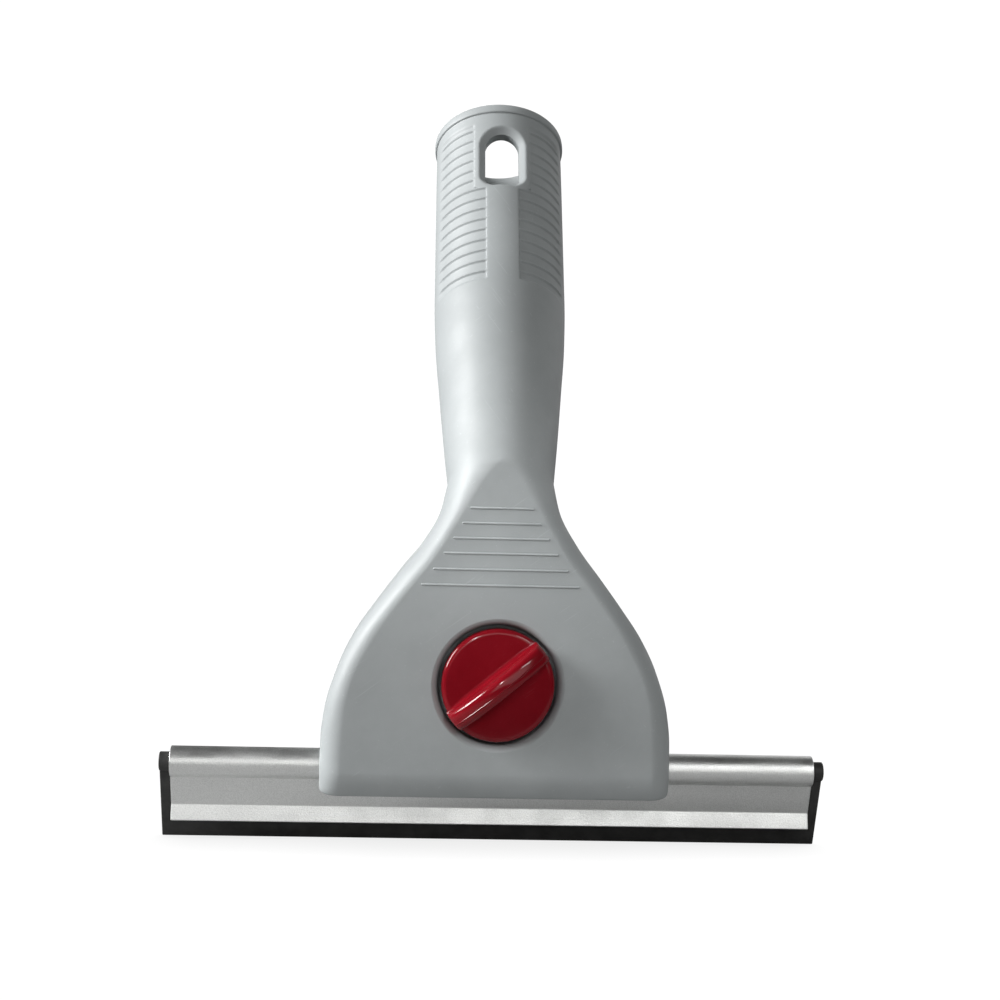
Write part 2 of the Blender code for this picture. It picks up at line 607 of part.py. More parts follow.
def build():
    """Makes the squeegee with the hang slot's bearing point at the world origin."""
    clear_scene()
    grey = make_material("grey_plastic", (0.30, 0.31, 0.32), 0.42)
    dark_grey = make_material("jaw_plastic", (0.24, 0.25, 0.26), 0.48)
    red = make_material("red_plastic", (0.30, 0.010, 0.020), 0.14, coat=0.5)
    aluminium = make_material("aluminium", (0.70, 0.71, 0.72), 0.38, metallic=1.0)
    rubber = make_material("black_rubber", (0.015, 0.015, 0.016), 0.55)
    steel = make_material("steel", (0.56, 0.57, 0.58), 0.32, metallic=1.0)

    # The grip's local Y runs along its axis to the mouth, and its local Z faces front
    hang_along = GRIP_LENGTH - SLOT_START
    hang_out = GRIP_RADIUS - GRIP_WALL / 2
    hang = (0.0, NECK_DEPTH + hang_along * sin(GRIP_LEAN) - hang_out * cos(GRIP_LEAN),
            NECK_HEIGHT + hang_along * cos(GRIP_LEAN) + hang_out * sin(GRIP_LEAN))
    frame = make_empty("head_frame", place=-Vector(hang))
    grip_axis = make_empty("grip_axis", frame, (0.0, NECK_DEPTH, NECK_HEIGHT), (pi / 2 - GRIP_LEAN, 0.0, 0.0))
    knob_axis = make_empty("knob_axis", frame)
    jaw_axis = make_empty("jaw_axis", frame)
    bar_axis = make_empty("bar_axis", frame, (0.0, BAR_DEPTH, BAR_HEIGHT), (BLADE_LEAN, 0.0, 0.0))

    make_handle(frame, grip_axis, bar_axis, grey)
    make_knob(knob_axis, red)
    make_clamp_bolt(knob_axis, steel)
    make_thrust_washer(knob_axis, steel)
    make_retaining_ring(knob_axis, steel)
    make_rear_jaw(jaw_axis, bar_axis, dark_grey)
    make_jaw_nut(jaw_axis, steel)
    make_channel(bar_axis, aluminium)
    make_rubber_blade(bar_axis, rubber)
    print("hang point in the head's frame", [round(value, 5) for value in hang])


build()
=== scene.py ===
# %% [markdown]
# # A window squeegee
#
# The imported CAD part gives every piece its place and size. This lesson dresses it: a finely moulded grey
# handle with ribbed grips, a glossy red clamp knob, a satin aluminium channel and a black rubber blade. We
# start by loading the CAD model as a fixed frame. All lengths are in metres, and no CAD node is ever moved.

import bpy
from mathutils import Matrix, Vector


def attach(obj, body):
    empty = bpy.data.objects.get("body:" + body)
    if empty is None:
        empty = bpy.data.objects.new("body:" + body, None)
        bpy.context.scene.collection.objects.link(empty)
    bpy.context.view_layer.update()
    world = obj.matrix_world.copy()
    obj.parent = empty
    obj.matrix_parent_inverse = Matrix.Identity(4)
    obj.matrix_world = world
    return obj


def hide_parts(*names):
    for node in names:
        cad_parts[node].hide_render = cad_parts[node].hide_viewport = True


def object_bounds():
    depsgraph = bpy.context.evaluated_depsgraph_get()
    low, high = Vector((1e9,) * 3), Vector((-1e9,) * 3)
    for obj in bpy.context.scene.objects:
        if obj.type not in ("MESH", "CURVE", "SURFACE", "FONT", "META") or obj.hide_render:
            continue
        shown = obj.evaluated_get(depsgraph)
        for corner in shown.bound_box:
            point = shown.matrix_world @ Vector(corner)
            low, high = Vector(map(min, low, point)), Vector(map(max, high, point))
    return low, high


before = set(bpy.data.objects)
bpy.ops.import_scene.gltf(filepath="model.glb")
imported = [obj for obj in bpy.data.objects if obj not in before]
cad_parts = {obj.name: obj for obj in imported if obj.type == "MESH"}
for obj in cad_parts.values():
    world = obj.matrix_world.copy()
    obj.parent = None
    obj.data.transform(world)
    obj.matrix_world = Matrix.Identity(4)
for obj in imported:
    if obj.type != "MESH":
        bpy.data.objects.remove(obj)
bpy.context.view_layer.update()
print("CAD nodes:", sorted(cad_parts))

# %% Tools used below
from math import atan2, cos, pi, radians, sin, sqrt

import bmesh
import bpy
import numpy as np
from mathutils import Vector

MM = 0.001


def mm(*lengths):
    """Lengths given in millimetres, turned into metres."""
    return np.array(lengths) * MM


def chain(*parts):
    """Single values, rows of values or lists of points, one after the other."""
    return np.concatenate([np.atleast_1d(part) for part in parts])


def placed(name, data):
    """Makes an object of a mesh, a light or a camera, and puts it in the scene."""
    item = bpy.data.objects.new(name, data)
    bpy.context.scene.collection.objects.link(item)
    return item


# %% [markdown]
# ## Measures
#
# The solids were modelled from a handful of named sizes. The same sizes are written down again here, so
# that each new surface lies exactly where its solid lies. Heights and depths of the head are counted from
# the point where the knob's axis meets the flat face: depth grows to the back, height grows upwards.

# %% Sizes of the handle
FACE_APEX, FACE_HALF_WIDTH, FACE_ROUNDING = mm(50.0, 34.4, 5.0)
HEAD_WIDTH, HEAD_DEPTH, HEAD_BOTTOM = mm(78.4, 18.0, -25.4)
SHELL_WALL, JAW_HEIGHT = mm(2.8, 26.0)
BOTTOM_CURVE_HEIGHT, BOTTOM_CURVE_DEPTH, BOTTOM_CORNER = mm(5.9, 2.5, 1.3)
BACK_CORNER, LOWER_EDGE = mm(1.0, 0.4)
GRIP_LEAN, GRIP_LENGTH = radians(30), 99.5 * MM
NECK_RADIUS, GRIP_RADIUS, GRIP_WALL = mm(12.0, 15.6, 3.6)
SOCKET_RADIUS, SOCKET_DEPTH, SOCKET_CHAMFER, MOUTH_ROUNDING = mm(12.0, 74.0, 0.9, 0.9)
FLANGE_THICKNESS = 2.7 * MM
SLOT_START, SLOT_LENGTH, SLOT_WIDTH = mm(9.3, 15.3, 8.0)
OUTLINE_SHARES = ((0.0, 1.0), (0.18, 0.995), (0.28, 0.967), (0.42, 0.86), (0.52, 0.735), (0.61, 0.58),
                  (0.71, 0.393), (0.81, 0.200), (0.90, 0.060), (1.0, 0.0))
FACE_SHARES = ((0.0, 1.0), (0.24, 0.98), (0.34, 0.936), (0.47, 0.80), (0.59, 0.62), (0.705, 0.425),
               (0.81, 0.285), (0.88, 0.195), (0.94, 0.116), (1.0, 0.0))
GRIP_SHARES = ((0.0, 0.0), (0.12, 0.32), (0.25, 0.62), (0.38, 0.90), (0.50, 1.0), (0.80, 1.0), (1.0, 0.98))

# %% Sizes of the clamp and the blade
KNOB_RADIUS, KNOB_THICKNESS, KNOB_EDGE, KNOB_BACK_EDGE, KNOB_SINK = mm(12.6, 5.2, 1.2, 0.6, -0.2)
RECESS_RADIUS, RECESS_FILLET, RECESS_WALL, BRIDGE_WALL = mm(13.4, 1.6, 1.3, 2.1)
FLOOR_FRONT, FLOOR_BACK, GAP = mm(6.4, 8.8, 0.3)
BOLT_RADIUS, BOLT_END, BOLT_HEAD_FLATS, BOLT_HEAD = mm(2.95, 22.3, 9.5, 2.4)
NUT_FLATS, NUT_FRONT, NUT_BACK = mm(10.0, 13.3, 18.3)
BAR_DEPTH, BAR_HEIGHT, BAR_LENGTH = mm(9.5, -19.3, 145.0)
BLADE_LEAN = radians(24.2)
BEAD_RADIUS, WEB_HALF, CHANNEL_WALL, WEB_REACH = mm(3.5, 2.15, 1.1, 9.9)
LIP_LENGTH, LIP_SPREAD = mm(3.0, 2.2)
BULB_RADIUS, RUBBER_HALF, BLADE_LENGTH, BLADE_REACH = mm(2.15, 0.8, 150.0, 19.5)
SPLIT_HEIGHT = BAR_HEIGHT + BEAD_RADIUS + GAP + BRIDGE_WALL / 2

# %% [markdown]
# The row's origin is the point where a nail bears in the hang slot. The head's own zero lies below and in
# front of it. The grip leans back by 30 degrees, so it gets a frame of its own: a point on it has a reach
# out to the front, and a length along the axis from the neck. The blade's section leans too, so it is
# treated alike.

# %% Places of the head, the grip and the bar in the row frame
NECK_DEPTH = NECK_RADIUS * cos(GRIP_LEAN)
NECK_HEIGHT = FACE_APEX - NECK_RADIUS * sin(GRIP_LEAN)
hang_along, hang_out = GRIP_LENGTH - SLOT_START, GRIP_RADIUS - GRIP_WALL / 2
HEAD_PLACE = -np.array([0.0, NECK_DEPTH + hang_along * sin(GRIP_LEAN) - hang_out * cos(GRIP_LEAN),
                        NECK_HEIGHT + hang_along * cos(GRIP_LEAN) + hang_out * sin(GRIP_LEAN)])
GRIP_PLACE = HEAD_PLACE + (0.0, NECK_DEPTH, NECK_HEIGHT)
BAR_PLACE = HEAD_PLACE + (0.0, BAR_DEPTH, BAR_HEIGHT)
SIDE = np.array([1.0, 0.0, 0.0])
GRIP_FRONT = np.array([0.0, -cos(GRIP_LEAN), sin(GRIP_LEAN)])
GRIP_AXIS = np.array([0.0, sin(GRIP_LEAN), cos(GRIP_LEAN)])
BAR_BACK = np.array([0.0, cos(BLADE_LEAN), sin(BLADE_LEAN)])
BAR_UP = np.array([0.0, -sin(BLADE_LEAN), cos(BLADE_LEAN)])


def on_head(x, depth, height):
    """Points in the row frame from places counted on the head: a plain shift by the head's own zero."""
    return np.stack(np.broadcast_arrays(x, depth, height), axis=-1) + HEAD_PLACE


def leaning(zero, out_way, up_way):
    """Makes a function of (x, out, up) that gives the zero plus x, out and up times their directions."""
    def place(x, out, up):
        x, out, up = (value[..., None] for value in np.broadcast_arrays(x, out, up))
        return zero + x * SIDE + out * out_way + up * up_way
    return place


on_grip = leaning(GRIP_PLACE, GRIP_FRONT, GRIP_AXIS)
on_bar = leaning(BAR_PLACE, BAR_BACK, BAR_UP)
print("head's zero in the row frame, mm:", np.round(HEAD_PLACE / MM, 3))

# %% [markdown]
# ## Camera
#
# The photograph was taken from a little above the knob and a few degrees to the left, almost level. The
# lens and the place below were fitted to the outline of the solids, so the render can be laid over the
# photograph.

# %% Camera at the photograph's angle
LENS, SENSOR = 64.04, 36.0
CAMERA_PLACE = (-0.021074, -0.435289, -0.083920)
CAMERA_DEGREES = (89.4107, -1.4144, -2.9774)

lens_data = bpy.data.cameras.new("photo_camera")
lens_data.lens, lens_data.sensor_width = LENS, SENSOR
lens_data.clip_start, lens_data.clip_end = 0.01, 10.0
camera = placed("photo_camera", lens_data)
camera.location = CAMERA_PLACE
camera.rotation_euler = [radians(value) for value in CAMERA_DEGREES]
bpy.context.scene.camera = camera
print("camera distance to the knob, mm:", round((camera.location - Vector(HEAD_PLACE)).length / MM, 1))

# %% [markdown]
# ## Making surfaces
#
# Every new piece is a grid of points that numpy works out as whole arrays: rows run along the piece and
# columns run round it. One helper turns such a grid into a closed mesh. It joins each row to the next with
# quads, closes the two ends, merges points that fall together and turns all faces outwards.

# %% Helpers for curves
def ease(value, start, end):
    """A smooth step: 0 before start, 1 after end, and 3 t squared minus 2 t cubed between them."""
    part = np.clip((value - start) / (end - start), 0.0, 1.0)
    return part * part * (3 - 2 * part)


def mix(low, high, share):
    """The value a share of the way from low to high."""
    return low + (high - low) * share


def rounding(radius, turn):
    """The two sides of a quarter round at each angle t: the radius times 1 - cos t, and times 1 - sin t."""
    return radius * (1 - np.cos(turn)), radius * (1 - np.sin(turn))


def read_curve(table, share):
    """A smooth curve through a table of shares: a cubic on each stretch, whose end slopes are the harmonic
    means of the straight slopes on both sides, so that it never swings past its points."""
    places, values = np.array(table).T
    widths = np.diff(places)
    slopes = np.diff(values) / widths
    before, after = slopes[:-1], slopes[1:]
    same = before * after > 0
    inner = np.where(same, 2 * before * after / np.where(same, before + after, 1.0), 0.0)
    tangents = chain(slopes[:1], inner, slopes[-1:])
    share = np.clip(share, places[0], places[-1])
    index = np.clip(np.searchsorted(places, share, side="right") - 1, 0, len(widths) - 1)
    part = (share - places[index]) / widths[index]
    rise, fall = widths[index] * tangents[index], widths[index] * tangents[index + 1]
    return ((1 + 2 * part) * (1 - part) ** 2 * values[index] + part * (1 - part) ** 2 * rise
            + part ** 2 * (3 - 2 * part) * values[index + 1] + part ** 2 * (part - 1) * fall)


# %% Helper that makes a mesh of grids
MERGE_DISTANCE = 0.0005 * MM


def grid_mesh(name, points, ends=True, sharp=35, rows_close=False):
    """Makes a closed mesh object of one or more (rows, columns, 3) grids whose columns go round. It is
    shaded smooth except across edges sharper than an angle."""
    rows, columns = points.shape[-3:-1]
    index = np.arange(points.size // 3).reshape(-1, rows, columns)
    start, after = (index, np.roll(index, -1, axis=1)) if rows_close else (index[:, :-1], index[:, 1:])
    quads = np.stack((start, np.roll(start, -1, axis=2), np.roll(after, -1, axis=2), after), axis=-1)
    faces = quads.reshape(-1, 4).tolist()
    if ends and not rows_close:
        faces += index[:, [0, -1]].reshape(-1, columns).tolist()
    mesh = bpy.data.meshes.new(name)
    mesh.from_pydata(points.reshape(-1, 3).tolist(), [], faces)
    shape = bmesh.new()
    shape.from_mesh(mesh)
    bmesh.ops.remove_doubles(shape, verts=shape.verts, dist=MERGE_DISTANCE)
    bmesh.ops.recalc_face_normals(shape, faces=shape.faces)
    shape.to_mesh(mesh)
    shape.free()
    mesh.shade_smooth()
    mesh.set_sharp_from_angle(angle=radians(sharp))
    return placed(name, mesh)


# %% Helper that cuts one shape with others
def carve(item, tools, operation="DIFFERENCE", solver="MANIFOLD", sharp=35):
    """Cuts or joins an object with each tool in turn, keeps the mesh that results and drops the tools."""
    for tool in tools:
        step = item.modifiers.new(tool.name, "BOOLEAN")
        step.operation, step.solver, step.object = operation, solver, tool
    graph = bpy.context.evaluated_depsgraph_get()
    mesh = bpy.data.meshes.new_from_object(item.evaluated_get(graph))
    item.modifiers.clear()
    item.data = mesh
    mesh.materials.clear()
    mesh.shade_smooth()
    mesh.set_sharp_from_angle(angle=radians(sharp))
    for tool in tools:
        bpy.data.objects.remove(tool)


def count(item):
    """Prints how many faces a finished piece has."""
    print(f"{item.name}: {len(item.data.polygons)} faces")


# %% [markdown]
# ## The handle's outer skin
#
# The handle is one moulding: a flat, fan-shaped head that bends back into a round grip. It could be
# sculpted, but a loft is exact and easy to change. Each cross-section has a flat front, rounded front
# corners, straight sides and small back corners. Towards the grip the flats shrink until only the corners
# are left, and these make a circle.

# %% One cross-section, as a function of a place round it
def section(v, flat, half, depth, front_drop, back_side, back_drop):
    """(x, inward) at v on the right half of a section. v runs over the front flat from 0 to 1, the elliptic
    front corner to 2, the side to 3, the elliptic back corner to 4 and the back flat to 5; each stretch
    adds its own step to the ones before it."""
    front = np.clip(v - 1, 0, 1) * pi / 2
    back = np.clip(v - 3, 0, 1) * pi / 2
    x = (flat * np.clip(v, 0, 1) + (half - flat) * np.sin(front)
         - back_side * (1 - np.cos(back)) - (half - back_side) * np.clip(v - 4, 0, 1))
    inward = (front_drop * (1 - np.cos(front)) + (depth - back_drop - front_drop) * np.clip(v - 2, 0, 1)
              + back_drop * np.sin(back))
    return x, inward


def spread(*stretches):
    """Places from one value to the next in even steps: (start, end, count) for each stretch."""
    return chain(*(np.linspace(start, end, count, endpoint=False) for start, end, count in stretches))


# %% Columns of the head and of the grip
# On the grip, v from 1 to 2 and from 3 to 4 are quarter turns.
head_columns = chain(spread((0, 1, 46), (1, 2, 28), (2, 3, 8), (3, 4, 16), (4, 5, 12)), 5.0)
grip_turns = chain(spread((0, 76, 70), (76, 90, 4), (90, 154, 16), (154, 180, 20)), 180.0)
grip_columns = np.where(grip_turns < 90, 1 + grip_turns / 90, 3 + (grip_turns - 90) / 90)
grip_columns[0], grip_columns[-1] = 0.0, 5.0
print("columns on each side of the handle:", len(head_columns), len(grip_columns))

# %% The head's sections
COLUMNS_TURN_HEIGHT = 18 * MM


def head_half_width(height):
    """Half of the head's width at a height, from the table of the outline."""
    share = (height - HEAD_BOTTOM) / (NECK_HEIGHT - HEAD_BOTTOM)
    return mix(NECK_RADIUS, HEAD_WIDTH / 2, read_curve(OUTLINE_SHARES, share))


def head_rows(height):
    """Rows of the head: the section at each height is pushed back at the lower edge, and it leans back more
    and more above the jaw, as (x, depth, height) arrays of one half."""
    lift = height - HEAD_BOTTOM
    lean = GRIP_LEAN * ease(height, JAW_HEIGHT, FACE_APEX)
    low = np.maximum(BOTTOM_CURVE_HEIGHT - lift, 0) / BOTTOM_CURVE_HEIGHT
    edge = np.maximum(LOWER_EDGE - lift, 0)
    front = BOTTOM_CURVE_DEPTH * low ** 2 + LOWER_EDGE - np.sqrt(LOWER_EDGE ** 2 - edge ** 2)
    depth = mix(HEAD_DEPTH, 2 * NECK_RADIUS, ease(height, JAW_HEIGHT - 2 * SHELL_WALL, FACE_APEX)) - front
    corner = np.maximum(BOTTOM_CORNER - lift, 0)
    half = (head_half_width(height - depth / 2 * np.sin(lean))
            - (BOTTOM_CORNER - np.sqrt(BOTTOM_CORNER ** 2 - corner ** 2)))
    flat = FACE_HALF_WIDTH * read_curve(FACE_SHARES, lift / (FACE_APEX - HEAD_BOTTOM))
    flat = np.minimum(flat, half - BOTTOM_CORNER)
    front_drop = mix(FACE_ROUNDING, depth / 2, ease(height, 0.0, FACE_APEX))
    round_share = ease(height, JAW_HEIGHT - SHELL_WALL, FACE_APEX)
    back_side = mix(BACK_CORNER, half, round_share)
    back_drop = mix(BACK_CORNER, depth / 2, round_share)
    v = mix(head_columns, grip_columns, ease(height, COLUMNS_TURN_HEIGHT, FACE_APEX)[:, None])
    sizes = (value[:, None] for value in (flat, half, depth, front_drop, back_side, back_drop))
    x, inward = section(v, *sizes)
    lean = lean[:, None]
    return x, front[:, None] + inward * np.cos(lean), height[:, None] - inward * np.sin(lean)


# %% [markdown]
# ## Ribbed grip fields
#
# The grip carries two sunk fields, one for the thumb and one for the fingers, with fifteen thin ribs square
# to the grip's axis. The ribs reach back up to the skin. A displacement does this best: the skin is pushed
# in by the field's depth wherever the field is, and not pushed where a rib stands. The rows are placed
# closer on each rib.

# %% Sizes of the fields and ribs, with turns in degrees from the front
FIELD_DEPTH, RIB_HALF, RIB_PITCH, RIB_TOP = mm(0.40, 0.55, 3.077, 92.40)
RIB_COUNT = 15
FIELD_FOOT, FIELD_HEAD, FIELD_STEP = mm(47.2, 93.9, 74.1)
FIELD_INNER_LOW, FIELD_INNER_HIGH, FIELD_OUTER = 13.8, 25.6, 70.0
WALL_TURN, FADE_BEFORE, FADE_AFTER = 1.7, 7, 4.5
SHORT, SHORTER = mm(0.5, 0.3)


def field_mask(turn, along):
    """1 inside the sunk fields and 0 outside: a steep wall at the inner edge, a slow rise at the outer edge
    and short ends. The inner edge moves out beside the hang slot."""
    inner = mix(FIELD_INNER_LOW, FIELD_INNER_HIGH, ease(along, FIELD_STEP - SHORT, FIELD_STEP + SHORT))
    fade = ease(turn, FIELD_OUTER - FADE_BEFORE, FIELD_OUTER + FADE_AFTER)
    across = ease(turn, inner, inner + WALL_TURN) * (1 - fade)
    ends = (ease(along, FIELD_FOOT - SHORTER, FIELD_FOOT + SHORTER)
            * (1 - ease(along, FIELD_HEAD - SHORT, FIELD_HEAD + SHORTER)))
    return across * ends


def rib_mask(along):
    """1 on the crest of each rib and 0 between them: half a cosine wave across the rib's width."""
    nearest = np.clip(np.round((RIB_TOP - along) / RIB_PITCH), 0, RIB_COUNT - 1)
    off = np.abs(along - (RIB_TOP - nearest * RIB_PITCH)) / RIB_HALF
    return np.where(off < 1, 0.5 + 0.5 * np.cos(pi * np.minimum(off, 1)), 0.0)


# %% [markdown]
# ## Bevelled edge of the hang slot
#
# A slanted bevel runs round the slot, narrow at the foot and wide above it. For a point beside the slot we
# find its distance to the slot's outline. Inside the bevel the skin drops in step with that distance, and
# at the bevel's outer edge a short parabola turns the skin's slope into the bevel's.

# %% Distance to the slot's outline, and the bevel
SLOT_LONGER, SLOT_CORNER = mm(0.8, 2.0)
SLOT_HALF = SLOT_WIDTH / 2
SLOT_TOP = GRIP_LENGTH - SLOT_START + SLOT_LONGER
SLOT_FOOT = GRIP_LENGTH - SLOT_START - SLOT_LENGTH
SLOT_ARCH = SLOT_TOP - SLOT_HALF
SLOT_BEVEL, SLOT_FOOT_BEVEL, SLOT_BLEND = mm(1.7, 0.7, 0.3)
SLOT_SLOPE = 0.9
BEVEL_GROWS = SLOT_FOOT + mm(-0.5, 3)


def slot_distance(x, along):
    """Distance to the slot's outline, below 0 inside it. The outline is a half circle on top of a block
    with rounded lower corners."""
    side, arched = np.abs(x), along > SLOT_ARCH
    core_x = np.where(arched, 0.0, np.minimum(side, SLOT_HALF - SLOT_CORNER))
    core_along = np.where(arched, SLOT_ARCH, np.maximum(along, SLOT_FOOT + SLOT_CORNER))
    return np.hypot(side - core_x, along - core_along) - np.where(arched, SLOT_HALF, SLOT_CORNER)


def slot_bevel(x, along):
    """How far the bevel lowers the skin: the slope times s, where s is how far a point lies inside the
    bevel's edge, and the slope times (s + b) squared over 4 b while s is within b of that edge."""
    width = mix(SLOT_FOOT_BEVEL, SLOT_BEVEL, ease(along, *BEVEL_GROWS))
    inside = width - np.maximum(slot_distance(x, along), 0.0)
    blend = np.maximum(inside + SLOT_BLEND, 0.0) ** 2 / (4 * SLOT_BLEND)
    return SLOT_SLOPE * np.where(inside < SLOT_BLEND, blend, inside)


# %% The grip's rows
NEAR_SLOT = 0.6 * GRIP_RADIUS


def grip_radius(along):
    """The grip's plain radius at a length from the neck, from the table of its taper."""
    return mix(NECK_RADIUS, GRIP_RADIUS, read_curve(GRIP_SHARES, along / GRIP_LENGTH))


def grip_rows(along, flange):
    """Rows of the grip as (x, out, along) arrays of one half: a circle, widened by the rim's flange and
    pushed in by the fields, with the bevel of the slot on the front and on the back."""
    turn, along = grip_turns[None, :], along[:, None]
    sunk = FIELD_DEPTH * field_mask(turn, along) * (1 - rib_mask(along))
    radius = grip_radius(along) + flange[:, None] - sunk
    x = radius * np.sin(np.radians(turn))
    out = radius * np.cos(np.radians(turn))
    along = np.broadcast_to(along, out.shape)
    bevel = slot_bevel(x, along) * (np.abs(out) > NEAR_SLOT)
    return x, out - np.sign(out) * bevel, along


# %% Where the rows lie, from the lower edge to the mouth
CURVE_TOP, FINE_FROM, RIBS_FROM = mm(-19.5, 71, 47.8)
head_heights = chain(HEAD_BOTTOM + mm(0, 0.03, 0.08, 0.15, 0.23, 0.32, 0.4, 0.6, 0.8, 1.05, 1.3),
                     np.linspace(HEAD_BOTTOM + BOTTOM_CORNER, CURVE_TOP, 11)[1:],
                     np.linspace(CURVE_TOP, FACE_APEX, 78)[1:])
fine = mm(-1.54, -1.2, -0.9, -0.65, -0.5, -0.38, -0.25, -0.12, 0, 0.12, 0.25, 0.38, 0.5, 0.65, 0.9, 1.2)
coarse = mm(-1.54, -1.05, -0.65, -0.5, -0.36, -0.22, -0.08, 0.08, 0.22, 0.36, 0.5, 0.65, 1.05)
rib_crests = RIB_TOP - RIB_PITCH * np.arange(RIB_COUNT)[::-1]
rib_rows = chain(*(crest + (fine if crest > FINE_FROM else coarse) for crest in rib_crests))
body_rows = chain(np.linspace(*mm(0.9, 45.8), 44), mm(46.5, 46.9, 47.05, 47.2, 47.35, 47.5, 47.7),
                  rib_rows[rib_rows > RIBS_FROM], mm(93.94, 94.2, 94.7, 95.3, 95.9, 96.4))
flange_lifts = mm(-0.12, 0.0, 0.06, 0.16, 0.34, 0.6, 1.0, 1.5, 1.95, 2.2, 2.4, 2.55, 2.65, 2.7)
flange_outs = mm(0.0, 0.08, 0.30, 0.43, 0.50, 0.54, 0.55, 0.54, 0.50, 0.42, 0.28, 0.10, -0.10, -0.35)
print("rows on the head, the grip and the rim:", len(head_heights), len(body_rows), len(flange_lifts))

# %% The whole skin
head_points = on_head(*head_rows(head_heights))
grip_points = on_grip(*grip_rows(chain(body_rows, GRIP_LENGTH - FLANGE_THICKNESS + flange_lifts),
                                 chain(np.zeros(len(body_rows)), flange_outs)))
half = np.concatenate((head_points, grip_points))
mirrored = half[:, -2:0:-1] * (-1.0, 1.0, 1.0)
handle = grid_mesh("handle_moulding", np.concatenate((half, mirrored), axis=1), sharp=40)
count(handle)

# %% [markdown]
# ## Hollows, socket and slot
#
# The inside is cut with simple solids, the way a mould's cores leave it: the round recess of the knob, the
# hollow round its cup, the open hollow of the jaw, the space of the bar, the pole socket and the slot. A
# solid turned from a profile gives the round ones, and an outline pushed along a direction gives the rest.

# %% Helpers for cutters
NO_EDGE = np.zeros(1), np.zeros(1)


def turned(name, radii, depths, steps=128, place=on_head):
    """A solid of revolution: for each (r, depth) the point at angle a has x = r cos a and rises r sin a."""
    angle = np.linspace(0, 2 * pi, steps, endpoint=False)[None, :]
    radii, depths = np.array(radii)[:, None], np.array(depths)[:, None]
    return grid_mesh(name, place(radii * np.cos(angle), depths, radii * np.sin(angle)))


def outline_normals(outline):
    """Unit directions out of a closed outline, square to the line between each point's two neighbours."""
    line = np.roll(outline, -1, axis=0) - np.roll(outline, 1, axis=0)
    normal = np.stack((line[:, 1], -line[:, 0]), axis=-1)
    after = np.roll(outline, -1, axis=0)
    turn = np.sign((outline[:, 0] * after[:, 1] - outline[:, 1] * after[:, 0]).sum())
    return turn * normal / np.maximum(np.linalg.norm(normal, axis=1, keepdims=True), 1e-12)


def pushed(name, outline, start, end, place=on_head, edges=(0.0, 0.0)):
    """A prism: an outline at places along a direction, drawn in along its normals by r (1 - sin t) while it
    is r (1 - cos t) short of an end whose edge has the radius r. place(a, along, b) puts a point in the
    frame."""
    outline, turn = np.array(outline), np.linspace(0, pi / 2, 7)
    first, last = (rounding(radius, turn) if radius else NO_EDGE for radius in edges)
    draw = chain(first[1], last[1][::-1])[:, None, None]
    along = chain(start + first[0], end - last[0][::-1])[:, None]
    ring = outline[None] - draw * outline_normals(outline)[None]
    return grid_mesh(name, place(ring[..., 0], along, ring[..., 1]))


def round_arc(centre, radius, start, end, steps):
    """Points of an arc: the centre plus the radius times (cos, sin) of evenly spread angles."""
    angle = np.linspace(start, end, steps + 1)
    return np.stack((centre[0] + radius * np.cos(angle), centre[1] + radius * np.sin(angle)), axis=-1)


# %% Cutters of the head
PAST, RECESS_CORNER = mm(4, 0.5)
RECESS_ARC_SHORT = 0.12
wide = HEAD_WIDTH / 2 + PAST


def hollow_outline(low, high):
    """The head's outline drawn in by the shell's wall, between two heights."""
    heights = np.linspace(low, high, 40)
    right = np.stack((head_half_width(heights) - SHELL_WALL, heights), axis=-1)
    return chain(right, right[::-1] * (-1, 1))


widening, rise = rounding(RECESS_FILLET, np.linspace(pi / 2 - RECESS_ARC_SHORT, 0, 12))
recess = turned("recess", chain(RECESS_RADIUS + RECESS_FILLET, RECESS_RADIUS + widening, RECESS_RADIUS,
                                RECESS_RADIUS - RECESS_CORNER),
                chain(-PAST, 2 * rise, FLOOR_FRONT - RECESS_CORNER, FLOOR_FRONT), 160)
cup_core = turned("cup_core", [RECESS_RADIUS + RECESS_WALL] * 2, [SHELL_WALL - PAST, FLOOR_BACK + PAST])
above, below = JAW_HEIGHT + GAP, HEAD_BOTTOM - PAST
front_hollow = pushed("front_hollow", hollow_outline(SPLIT_HEIGHT + BRIDGE_WALL, above), SHELL_WALL,
                      FLOOR_BACK + GAP)
carve(front_hollow, [cup_core])
back_hollow = pushed("back_hollow", hollow_outline(SPLIT_HEIGHT, above), FLOOR_BACK, HEAD_DEPTH + PAST)
split = pushed("split", [(-wide, below), (wide, below), (wide, SPLIT_HEIGHT), (-wide, SPLIT_HEIGHT)],
               BAR_DEPTH - GAP / 2, HEAD_DEPTH + PAST)
bolt_hole = turned("bolt_hole", [BOLT_RADIUS + GAP] * 2, [FLOOR_FRONT - PAST / 2, FLOOR_BACK + PAST / 2], 64)


# %% Cutter of the bar's space, pushed along X
def open_ring(radius, half, steps):
    """An arc round a bead, from one side of the web below it to the other, half a web from the middle."""
    gap = atan2(half, sqrt(radius ** 2 - half ** 2))
    return round_arc((0, 0), radius, -pi / 2 + gap, 3 * pi / 2 - gap, steps)


def along_bar(a, along, b):
    """Puts an outline of the leaning section at places along X."""
    return on_bar(along, a, b)


def bar_cutter(name):
    """The bead and the web below it, with a gap all round, pushed along X."""
    half = WEB_HALF + GAP
    outline = chain(open_ring(BEAD_RADIUS + GAP, half, 72), [(-half, -BLADE_REACH), (half, -BLADE_REACH)])
    return pushed(name, outline, -wide, wide, along_bar)


bar_space = bar_cutter("bar_space")

# %% Cutters of the grip
SLOT_INSET = 0.10 * MM
MOUTH_ARC_SHORT = 0.1


